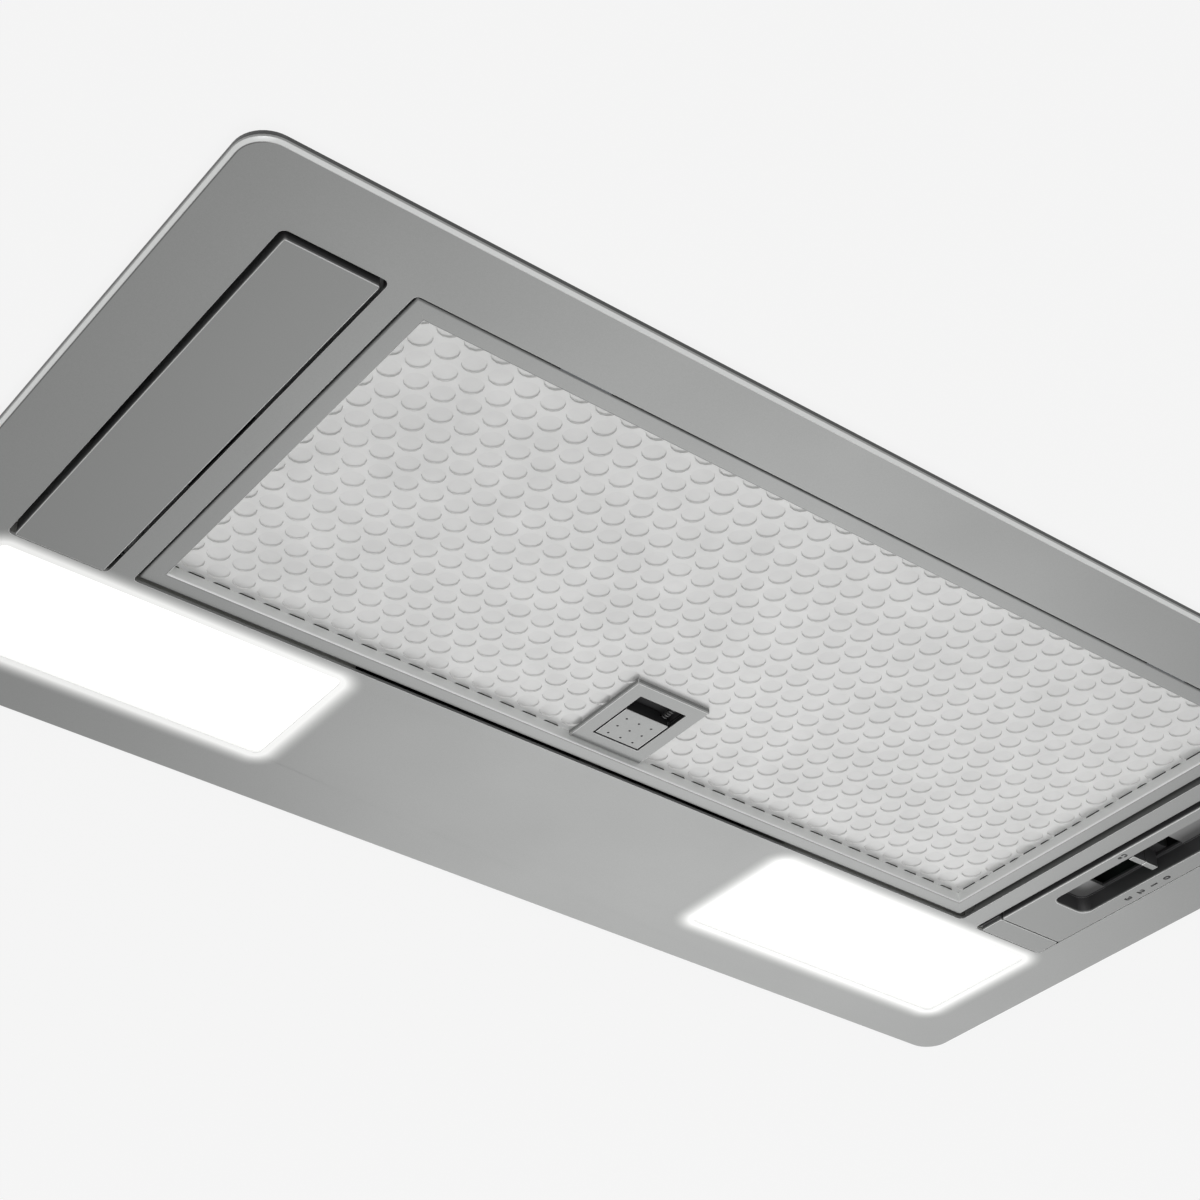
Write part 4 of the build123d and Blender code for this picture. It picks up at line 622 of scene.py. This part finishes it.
class HOOD_OT_finishes(bpy.types.Operator):
    """Makes every finish and gives each CAD node its own"""
    bl_idname = "hood.finishes"
    bl_label = "Finishes"

    def execute(self, context):
        shades = context.scene.hood_colours
        paint = tuple(shades.paint)
        silver = tuple(shades.moulding)
        bare = tuple(shades.shade)
        # The fins' deeper sides take a lighter copy of the bare grey: painted light
        lit_fin_bare = tinted(bare, 1.3)
        # The bright edge tone is a painted highlight on bevels, the rim's chamfer, the rails' lips and the
        # trough's rim
        highlight_tone = tuple(shades.edge)
        trough = tuple(shades.trough)
        metal = tuple(shades.aluminium)
        zinc = tuple(shades.galvanised)
        # Deeper than this the button's sides are near black: painted shade like the pocket's
        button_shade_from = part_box("latch_housing")[0].z + 0.35 * MM
        finishes.update({
            "silver_paint": plate_paint("satin silver paint", paint, highlight_tone),
            "paint_edge": satin_paint("silver paint with a painted highlight on an edge", highlight_tone)[0],
            "rail_paint": rail_paint("satin silver rail", tinted(paint, 1.02), tinted(highlight_tone, 1.2)),
            "strip_moulding": trough_moulding("sprayed strip moulding", silver, bare, trough, highlight_tone),
            "strip_edge": painted_moulding("sprayed strip edge", highlight_tone, bare, STRIP_SPRAY)[0],
            "fin_moulding": painted_moulding("sprayed fin moulding", silver, lit_fin_bare, 1.75 * MM)[0],
            "fin_edge": painted_moulding("sprayed fin edge", tinted(highlight_tone, 1.2), lit_fin_bare, 2.2 * MM)[0],
            "latch_moulding": latch_moulding("sprayed latch moulding", tinted(silver, 1.1), bare),
            "latch_edge": painted_moulding("sprayed latch edge", tinted(highlight_tone, 0.8), bare, LATCH_SPRAY)[0],
            # Painted shade on the button's deeper sides
            "button_moulding": painted_moulding("sprayed button moulding", tinted(silver, 1.15),
                                                tinted(bare, 0.3), button_shade_from)[0],
            # Painted shade: the grip pits are darker than the button
            "pit": grained_plastic("shaded pit", tinted(bare, 0.5), 0.6),
            "opal": lit_opal("lit opal lens", tuple(shades.lens)),
            "aluminium": rolled_aluminium("rolled aluminium", metal, 0.6, 0.25),
            # Painted shade: the dish floors a shade darker than the flat sheet
            "shaded_dish_floor": rolled_aluminium("pressed dish floor", tinted(metal, 0.975), 0.6, 0.25),
            # Painted shade: the dishes' walls are near black aluminium, which shows as dark crescents
            "shaded_dish_wall": rolled_aluminium("pressed dish wall", tinted(metal, 0.22), 0.65, 0.25),
            # Painted shade: the dishes under the rails are near black
            "under_rail": rolled_aluminium("aluminium under the rails", tinted(metal, 0.04), 0.7, 0.25),
            "phosphated": bright_metal("phosphated hook", linear("#4a4c4e"), 0.5),
            "cast": rolled_aluminium("motor end plate aluminium", tinted(metal, 0.8), 0.5),
            "galvanised": galvanised_sheet("galvanised sheet", zinc),
            "zinc": bright_metal("zinc-plated steel", linear("#b9bab6"), 0.34),
            # The wire's own dark tone, darkened further as painted shade for the finger pocket
            "spring": bright_metal("spring steel wire", linear("#6e6e6e"), 0.4),
            "ground": bright_metal("ground steel shaft", linear("#b0b0b2"), 0.18),
            "black": grained_plastic("black flame-retardant plastic", linear("#202022"), 0.5),
            "grey": grained_plastic("grey flame-retardant plastic", linear("#7f8285"), 0.5),
            "white": grained_plastic("white terminal plastic", linear("#e2e2dd"), 0.4),
            "enamel": grained_plastic("white tray enamel", linear("#e4e4e0"), 0.45),
            "white_board": solder_mask("white solder mask", linear("#e4e4de")),
            "green_board": solder_mask("green solder mask", linear("#1c5a33")),
            "core": stacked_core("stacked motor core", linear("#5a5a5c")),
            "rubber": soft_rubber("bush rubber", linear("#1b1b1b")),
            "ink": printed_ink("printed ink", tuple(shades.ink)),
        })
        worn_by = {
            "silver_paint": ["underside_plate"],
            "rail_paint": RAILS,
            "strip_moulding": STRIPS,
            "fin_moulding": FINS,
            "latch_moulding": ["latch_housing", "latch_button"],
            "opal": ["lamp_lens_left", "lamp_lens_right"],
            "enamel": ["lamp_tray_left", "lamp_tray_right"],
            "white_board": ["led_board_left", "led_board_right"],
            "green_board": ["switch_board"],
            "aluminium": ["filter_front_sheet", "filter_mesh_pack", "filter_back_sheet", "capacitor"],
            "cast": ["motor_front_cap", "motor_rear_cap"],
            "galvanised": ["body_shell", "top_cover", "motor_plate", "clamp_left", "clamp_right",
                           "impeller"],
            "black": ["scroll_inlet_half", "scroll_motor_half", "inlet_ring", "outlet_collar", "flap_front",
                      "flap_rear", "cable_gland", "switch_housing", "lamp_driver"],
            "grey": ["terminal_box", "terminal_lid"],
            "white": ["terminal_block"],
            "zinc": ["plate_studs", "plate_nuts", "cover_screws", "scroll_screws", "motor_screws",
                     "outlet_screws", "clamp_studs", "clamp_nuts", "flap_axles"],
            "phosphated": ["filter_hooks"],
            "spring": ["latch_spring", "latch_keeper"],
            "ground": ["fan_shaft"],
            "core": ["motor_stator", "motor_rotor"],
            "rubber": ["motor_bushes"],
        }
        for finish, members in worn_by.items():
            for node in members:
                in_material(nodes[node], finishes[finish])
        for finish, members in EDGE_FINISH.items():
            for node in members:
                nodes[node].data.materials.append(finishes[finish])
        bare_nodes = set(nodes) - {node for members in worn_by.values() for node in members}
        if bare_nodes:
            raise RuntimeError(f"no finish for {sorted(bare_nodes)}")
        return {"FINISHED"}


# ------ edges
# Widths in millimetres
EDGE_ROUNDING = {
    0.4: ["control_strip"],
    0.25: ["underside_plate", "blank_strip", "end_strip", *FINS, "latch_housing", *RAILS,
           "lamp_lens_left", "lamp_lens_right", "flap_front", "flap_rear", "latch_keeper"],
    0.3: ["body_shell", "top_cover", "clamp_left", "clamp_right", "plate_nuts", "cover_screws",
          "outlet_screws", "scroll_screws", "clamp_nuts", "motor_screws", "terminal_block", "filter_hooks"],
    0.5: ["outlet_collar", "inlet_ring", "motor_plate", "lamp_tray_left", "lamp_tray_right",
          "switch_housing", "cable_gland", "motor_bushes"],
    0.8: ["terminal_lid", "terminal_box", "scroll_inlet_half", "scroll_motor_half", "motor_front_cap",
          "motor_rear_cap", "lamp_driver", "capacitor"],
}


class HOOD_OT_soft_edges(bpy.types.Operator):
    """Rounds the edges of the CAD nodes with modifiers, their meshes left as they are"""
    bl_idname = "hood.soft_edges"
    bl_label = "Soft edges"

    def execute(self, context):
        # Unclamped, the strips' edges keep their full width beside short edges
        for width, members in EDGE_ROUNDING.items():
            for node in members:
                modify(nodes[node], "WELD", apply=False, merge_threshold=0.000002)
                edge_slot = len(nodes[node].data.materials) - 1
                modify(nodes[node], "BEVEL", apply=False, width=width * MM, segments=2,
                       limit_method="ANGLE", angle_limit=radians(35), harden_normals=True,
                       use_clamp_overlap=node not in STRIPS, material=edge_slot)
        return {"FINISHED"}


# ------ filter mesh
# The sheet's material slots: every one but the plain aluminium carries painted shade
ALUMINIUM, SHADED_DISH_WALL, UNDER_RAIL, SHADED_DISH_FLOOR = range(4)


def give_slot(piece, slot):
    """Puts the chosen faces in one of the piece's material slots."""
    piece.active_material_index = slot
    bpy.ops.object.material_slot_assign()


def grow_ring(factor, rise):
    """Pulls the chosen border out to a wider ring, at another height."""
    bpy.ops.mesh.extrude_edges_move(TRANSFORM_OT_translate={"value": (0, 0, rise)})
    bpy.ops.transform.resize(value=(factor, factor, 1), center_override=(0, 0, 0))


def dish_cell(settings, sheet_z):
    """One six-sided cell of the sheet with a shallow round dish pressed up in it."""
    bpy.ops.mesh.primitive_circle_add(vertices=12, radius=settings.flat, fill_type="TRIFAN",
                                      location=(0, 0, 0))
    cell = name_piece("dished_mesh_sheet")
    edit(cell)
    shift_all((0, 0, sheet_z + settings.depth))
    bpy.ops.mesh.flip_normals()
    choose(cell, "EDGE", lambda edge: edge.is_boundary)
    grow_ring(settings.rim / settings.flat, -settings.depth)
    corner = settings.pitch / sqrt(3)
    grow_ring(corner / settings.rim, 0)

    def amid_a_side(vertex):
        flat = vertex.co.xy
        return flat.length > corner - 1e-6 and abs(cos(3 * flat.angle_signed(Vector((1, 0))))) > 0.5

    choose(cell, "VERT", amid_a_side)
    bpy.ops.transform.resize(value=(cos(pi / 6), cos(pi / 6), 1), center_override=(0, 0, 0))
    finish_edit()
    in_material(cell, finishes["aluminium"], finishes["shaded_dish_wall"], finishes["under_rail"],
                finishes["shaded_dish_floor"])
    edit(cell)
    # Painted shade on each dish's floor and wall
    choose(cell, "FACE", lambda face: middle(face).xy.length < settings.flat * 0.9)
    give_slot(cell, SHADED_DISH_FLOOR)
    choose(cell, "FACE", lambda face: settings.flat < middle(face).xy.length < settings.rim)
    give_slot(cell, SHADED_DISH_WALL)
    finish_edit()
    return cell


class HOOD_OT_dished_sheet(bpy.types.Operator):
    """The filter's pressed front sheet: rows of round dishes on a six-sided grid, open at the latch"""
    bl_idname = "hood.dished_sheet"
    bl_label = "Dished mesh sheet"

    def execute(self, context):
        settings = context.scene.hood_mesh
        low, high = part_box("filter_front_sheet")
        pack_low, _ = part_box("filter_mesh_pack")
        latch_low, latch_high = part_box("latch_housing")
        sheet = dish_cell(settings, low.z)
        row = settings.pitch * sqrt(3) / 2
        columns = int((high.x - low.x) / settings.pitch) + 3
        pairs = int((high.y - low.y) / row / 2) + 2
        repeat(sheet, columns, (settings.pitch, 0, 0))
        repeat(sheet, 2, (settings.pitch / 2, row, 0))
        repeat(sheet, pairs, (0, 2 * row, 0))
        back = int((settings.first_x - low.x) / settings.pitch) + 2
        down = int((settings.first_y - low.y) / row / 2) + 1
        edit(sheet)
        shift_all((settings.first_x - back * settings.pitch, settings.first_y - down * 2 * row, 0))
        bpy.ops.mesh.remove_doubles(threshold=0.00001)
        for corner, normal in ((low, (-1, 0, 0)), (low, (0, -1, 0)), (high, (1, 0, 0)), (high, (0, 1, 0))):
            cut_along(corner, normal, clear_outer=True)
        self.flatten_under_latch(sheet, settings, low.z, latch_low, latch_high)
        self.shade_under_rails(sheet)
        # An opening for the latch's pocket, then a hem round every border, up to the mesh pack
        left = latch_low.x + 3.6 * MM
        right = latch_high.x - 3.6 * MM
        front = latch_low.y + 4 * MM
        for x in (left, right):
            cut_along((x, 0, 0), (1, 0, 0))
        cut_along((0, front, 0), (0, 1, 0))
        choose(sheet, "FACE", lambda face: left < middle(face).x < right and middle(face).y > front)
        bpy.ops.mesh.delete(type="FACE")
        choose(sheet, "EDGE", lambda edge: edge.is_boundary)
        bpy.ops.mesh.extrude_edges_move(TRANSFORM_OT_translate={"value": (0, 0, 0.7 * MM)})
        bpy.ops.transform.resize(value=(1, 1, 0), center_override=(0, 0, pack_low.z - 0.01 * MM))
        bpy.ops.mesh.fill()
        select_mesh()
        bpy.ops.mesh.normals_make_consistent(inside=False)
        finish_edit()
        smooth(sheet, 40)
        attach(sheet, "filter_cassette")
        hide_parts("filter_front_sheet")
        return {"FINISHED"}

    @staticmethod
    def flatten_under_latch(sheet, settings, sheet_z, latch_low, latch_high):
        """No dish is pressed where the latch plate lies on the sheet."""
        row = settings.pitch * sqrt(3) / 2
        left = latch_low.x - 0.3 * MM
        right = latch_high.x + 0.3 * MM
        front = latch_low.y - 1.0 * MM

        def of_a_hidden_dish(vertex):
            rows = round((vertex.co.y - settings.first_y) / row)
            start_x = settings.first_x + (rows % 2) * settings.pitch / 2
            x = start_x + round((vertex.co.x - start_x) / settings.pitch) * settings.pitch
            y = settings.first_y + rows * row
            return left < x < right and y > front

        choose(sheet, "VERT", lambda vertex: vertex.co.z > sheet_z + 0.01 * MM and of_a_hidden_dish(vertex))
        bpy.ops.transform.resize(value=(1, 1, 0), center_override=(0, 0, sheet_z))
        choose(sheet, "FACE", lambda face: all(of_a_hidden_dish(vertex) for vertex in face.verts))
        give_slot(sheet, ALUMINIUM)

    @staticmethod
    def shade_under_rails(sheet):
        """Dishes run on under the rails, where no light reaches."""
        (left, front), (right, rear) = rail_opening()
        for x in (left, right):
            cut_along((x, 0, 0), (1, 0, 0))
        for y in (front, rear):
            cut_along((0, y, 0), (0, 1, 0))

        def under_a_rail(face):
            spot = middle(face)
            return not (left < spot.x < right and front < spot.y < rear)

        choose(sheet, "FACE", under_a_rail)
        give_slot(sheet, UNDER_RAIL)


# ------ latch
class HOOD_OT_thumb_button(bpy.types.Operator):
    """The latch's thumb button with its nine grip pits"""
    bl_idname = "hood.thumb_button"
    bl_label = "Thumb button"

    def execute(self, context):
        settings = context.scene.hood_latch
        low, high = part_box("latch_button")
        button = copy_of_node("latch_button", "thumb_button")
        in_material(button, finishes["button_moulding"], finishes["pit"], finishes["latch_edge"])
        modify(button, "BEVEL", width=0.22 * MM, segments=2, limit_method="ANGLE", angle_limit=radians(60),
               material=2)
        mid_x = (low.x + high.x) / 2
        mid_y = low.y + BUTTON_FACE / 2 + PITS_OFF_CENTRE
        bpy.ops.mesh.primitive_uv_sphere_add(segments=16, ring_count=8, radius=settings.pit_radius,
                                             location=(0, 0, 0))
        pits = name_piece("grip_pits")
        in_material(pits, finishes["pit"])
        repeat(pits, 3, (settings.pit_pitch, 0, 0))
        repeat(pits, 3, (0, settings.pit_pitch, 0))
        edit(pits)
        shift_all((mid_x - settings.pit_pitch, mid_y - settings.pit_pitch, low.z - 0.1 * MM))
        finish_edit()
        modify(button, "BOOLEAN", operation="DIFFERENCE", solver="EXACT", object=pits,
               material_mode="TRANSFER")
        bpy.data.objects.remove(pits)
        smooth(button, 15)
        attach(button, "latch")
        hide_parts("latch_button")
        return {"FINISHED"}


class HOOD_OT_coil_spring(bpy.types.Operator):
    """The small coil spring in the finger pocket"""
    bl_idname = "hood.coil_spring"
    bl_label = "Coil spring"

    def execute(self, context):
        settings = context.scene.hood_latch
        low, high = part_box("latch_spring")
        mid_x = (low.x + high.x) / 2
        mid_z = (low.z + high.z) / 2
        wire = settings.wire_radius
        coil_radius = (high.x - low.x) / 2 - wire
        bpy.ops.mesh.primitive_circle_add(vertices=8, radius=wire, location=(0, 0, 0))
        spring = name_piece("coiled_latch_spring")
        edit(spring)
        shift_all((coil_radius, wire, 0))
        finish_edit()
        length_left = high.y - low.y - 2 * wire
        steps = 14 * settings.coil_turns
        modify(spring, "SCREW", axis="Y", angle=2 * pi * settings.coil_turns, screw_offset=length_left,
               steps=steps, render_steps=steps, use_merge_vertices=False)
        edit(spring)
        choose(spring, "EDGE", lambda edge: edge.is_boundary)
        bpy.ops.mesh.edge_face_add()
        shift_all((mid_x, low.y, mid_z))
        bpy.ops.mesh.normals_make_consistent(inside=False)
        finish_edit()
        smooth(spring, 60)
        in_material(spring, finishes["spring"])
        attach(spring, "filter_cassette")
        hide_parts("latch_spring")
        return {"FINISHED"}


# ------ signs
def lay_print(piece, x, y, settings):
    """Lays a flat sign drawn in X and Y on the strip's face, read from below, its top to the room."""
    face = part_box("control_strip")[0].z
    turn = Matrix(((1, 0, 0), (0, -1, 0), (0, 0, -1))).to_4x4()
    piece.matrix_world = Matrix.Translation((x, y, face - settings.print_thickness)) @ turn
    place(piece)
    modify(piece, "SOLIDIFY", thickness=settings.print_thickness * 1.5, offset=-1.0)
    outward(piece)
    in_material(piece, finishes["ink"])
    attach(piece, "hood")


class HOOD_OT_numbers(bpy.types.Operator):
    """The numbers 0 to 3 beside the fan's slider"""
    bl_idname = "hood.numbers"
    bl_label = "Numbers"

    def execute(self, context):
        settings = context.scene.hood_signs
        for digit, y in NUMBERS_Y.items():
            deselect()
            bpy.ops.object.text_add(location=(0, 0, 0))
            text = name_piece("number_" + digit)
            text.data.body = digit
            text.data.size = settings.digit_height * 1.4
            text.data.align_x = "CENTER"
            text.data.align_y = "CENTER"
            text.data.resolution_u = 4
            text.data.offset = 0.28 * MM
            take(text)
            bpy.ops.object.convert(target="MESH")
            lay_print(bpy.context.active_object, NUMBERS_X, y, settings)
        return {"FINISHED"}


class HOOD_OT_bulb_sign(bpy.types.Operator):
    """The bulb sign beside the light's slider"""
    bl_idname = "hood.bulb_sign"
    bl_label = "Bulb sign"

    def execute(self, context):
        settings = context.scene.hood_signs
        size = settings.bulb_height
        glass_radius = size * 0.3
        glass_y = size * 0.18
        line = settings.line
        deselect()
        bpy.ops.mesh.primitive_circle_add(vertices=28, radius=glass_radius, fill_type="NOTHING",
                                          location=(0, glass_y, 0))
        glass = name_piece("bulb_glass")
        place(glass)
        edit(glass)
        choose(glass, "EDGE", lambda edge: middle(edge).y > glass_y - glass_radius * 0.82)
        bpy.ops.mesh.select_all(action="INVERT")
        bpy.ops.mesh.delete(type="EDGE")
        select_mesh()
        bpy.ops.mesh.extrude_edges_move(TRANSFORM_OT_translate={"value": (0, 0, 0)})
        inner = 1 - line / glass_radius
        bpy.ops.transform.resize(value=(inner, inner, 1), center_override=(0, glass_y, 0))
        finish_edit()
        bars = [glass]
        for number, (y, half) in enumerate(((-0.24, 0.17), (-0.36, 0.17), (-0.47, 0.1))):
            bpy.ops.mesh.primitive_plane_add(size=1, location=(0, y * size, 0))
            bar = name_piece(f"bulb_cap_{number}")
            bar.scale = (2 * half * size, line, 1)
            place(bar)
            bars.append(bar)
        sign = join("bulb_sign", bars)
        outward(sign)
        edit(sign)
        choose(sign, "FACE", lambda face: face.normal.z < 0)
        bpy.ops.mesh.flip_normals()
        finish_edit()
        lay_print(sign, *BULB_PLACE, settings)
        return {"FINISHED"}


# ------ stage
def area_light(name, location, target, side, power):
    data = bpy.data.lights.new(name, "AREA")
    data.shape = "RECTANGLE"
    data.size = data.size_y = side
    data.energy = power
    lamp = bpy.data.objects.new(name, data)
    bpy.context.scene.collection.objects.link(lamp)
    lamp.location = location
    lamp.rotation_euler = (Vector(target) - Vector(location)).to_track_quat("-Z", "Y").to_euler()


class HOOD_OT_stage(bpy.types.Operator):
    """The pale sheet that the hood is let into, the even light and the camera"""
    bl_idname = "hood.stage"
    bl_label = "Stage"

    def execute(self, context):
        settings = context.scene.hood_stage
        self.pale_sheet(settings)
        self.surroundings(settings)
        self.lamps()
        self.camera()
        context.scene.view_settings.view_transform = "Standard"
        return {"FINISHED"}

    def pale_sheet(self, settings):
        """A thin sheet level with the rim's top edge, open where the body stands."""
        side, border, opening = 5.0, 1.0, (0.519, 0.284)
        deselect()
        bpy.ops.mesh.primitive_plane_add(size=side, location=(0, 0, 0))
        sheet = name_piece("pale_sheet")
        edit(sheet)
        select_mesh()
        bpy.ops.mesh.inset(thickness=border, depth=0)
        within = side - 2 * border
        bpy.ops.transform.resize(value=(opening[0] / within, opening[1] / within, 1),
                                 center_override=(0, 0, 0))
        bpy.ops.mesh.delete(type="FACE")
        shift_all((0, 0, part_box("underside_plate")[0].z + 3.55 * MM))
        finish_edit()
        modify(sheet, "SOLIDIFY", thickness=1.2 * MM, offset=1.0)
        rgb = tuple(settings.floor_colour)
        material, shader, where = start("pale sheet", rgb, 0.0, 0.9)
        fibre = add(material, "ShaderNodeTexNoise", Vector=where, Scale=0.5 / MM, Detail=3.0)
        vary_colour(material, shader, fibre.outputs["Fac"], tinted(rgb, 0.99), tinted(rgb, 1.01))
        glow = add(material, "ShaderNodeEmission", Color=(1, 1, 1, 1), Strength=settings.background)
        seen = self.seen_or_mirrored(material)
        share = add(material, "ShaderNodeMath", {"operation": "MULTIPLY"}, _0=seen, _1=settings.floor_glow)
        add(material, "ShaderNodeMixShader", to=material.node_tree.nodes["Material Output"].inputs["Surface"],
            _0=share.outputs["Value"], _1=shader.outputs["BSDF"], _2=glow.outputs["Emission"])
        in_material(sheet, material)

    def surroundings(self, settings):
        """Even daylight that looks nearly white to the eye and in reflections."""
        world = bpy.data.worlds.new("surroundings")
        bpy.context.scene.world = world
        world.use_nodes = True
        world.node_tree.nodes.clear()
        light = add(world, "ShaderNodeBackground", Color=(1, 1, 1, 1), Strength=settings.daylight)
        view = add(world, "ShaderNodeBackground", Color=(1, 1, 1, 1), Strength=settings.background)
        both = add(world, "ShaderNodeMixShader", _0=self.seen_or_mirrored(world), _1=light.outputs[0],
                   _2=view.outputs[0])
        add(world, "ShaderNodeOutputWorld", Surface=both.outputs[0])

    @staticmethod
    def seen_or_mirrored(owner):
        """1 for what the eye sees straight, through glass or in a mirror, 0 for light that spreads."""
        path = add(owner, "ShaderNodeLightPath")
        seen = path.outputs["Is Camera Ray"]
        for ray in ("Is Transmission Ray", "Is Glossy Ray"):
            seen = add(owner, "ShaderNodeMath", {"operation": "MAXIMUM"}, _0=seen,
                       _1=path.outputs[ray]).outputs["Value"]
        return seen

    def lamps(self):
        area_light("key_below", (1.45, 1.68, -1.75), (0, 0, 0), 1.2, 18.5)
        area_light("fill_below", (-1.6, -1.9, -0.45), (0, 0, 0), 1.2, 12.0)
        area_light("key_above", (-1.2, -1.4, 1.8), (0, 0, 0.1), 1.4, 26.0)
        area_light("fill_above", (1.5, 1.3, 1.4), (0, 0, 0.1), 1.4, 14.0)

    def camera(self):
        """Below the room side's left end, looking up at the plate."""
        right = Vector((0.80074, -0.59900, 0.00210))
        down = Vector((0.35989, 0.47830, -0.80106))
        ahead = Vector((0.47884, 0.64220, 0.59858))
        data = bpy.data.cameras.new("camera")
        data.sensor_fit = "HORIZONTAL"
        data.sensor_width = 36.0
        data.lens = 74.66
        data.shift_x = 0.0110
        data.clip_start = 0.01
        turn = Matrix((right, -down, -ahead)).transposed().to_4x4()
        eye = Matrix.Translation((-0.47380, -0.58163, -0.51150))
        camera = bpy.data.objects.new("camera", data)
        camera.matrix_world = eye @ turn
        bpy.context.scene.collection.objects.link(camera)
        bpy.context.scene.camera = camera


# ------ panel
class HOOD_PT_panel(bpy.types.Panel):
    """Lists the hood's pieces and their sizes"""
    bl_idname = "HOOD_PT_panel"
    bl_label = "Range hood"
    bl_space_type = "VIEW_3D"
    bl_region_type = "UI"
    bl_category = "Range hood"

    def draw(self, context):
        layout = self.layout
        for operator in OPERATORS:
            layout.operator(operator.bl_idname)
        for group in GROUPS:
            values = getattr(context.scene, group)
            box = layout.box()
            for key in values.__annotations__:
                box.prop(values, key)


GROUPS = {
    "hood_mesh": HoodMeshSettings,
    "hood_latch": HoodLatchSettings,
    "hood_signs": HoodSignSettings,
    "hood_colours": HoodColours,
    "hood_stage": HoodStageSettings,
}
OPERATORS = (HOOD_OT_finishes, HOOD_OT_dished_sheet, HOOD_OT_thumb_button, HOOD_OT_coil_spring,
             HOOD_OT_numbers, HOOD_OT_bulb_sign, HOOD_OT_soft_edges, HOOD_OT_stage)


def register():
    for kind in (*GROUPS.values(), *OPERATORS, HOOD_PT_panel):
        bpy.utils.register_class(kind)
    for name, kind in GROUPS.items():
        setattr(bpy.types.Scene, name, PointerProperty(type=kind))


def unregister():
    for name in GROUPS:
        delattr(bpy.types.Scene, name)
    for kind in (HOOD_PT_panel, *reversed(OPERATORS), *reversed(GROUPS.values())):
        bpy.utils.unregister_class(kind)


def main():
    register()
    bpy.ops.hood.finishes()
    bpy.ops.hood.dished_sheet()
    bpy.ops.hood.thumb_button()
    bpy.ops.hood.coil_spring()
    bpy.ops.hood.numbers()
    bpy.ops.hood.bulb_sign()
    bpy.ops.hood.soft_edges()
    bpy.ops.hood.stage()
    deselect()


if __name__ == "__main__":
    main()
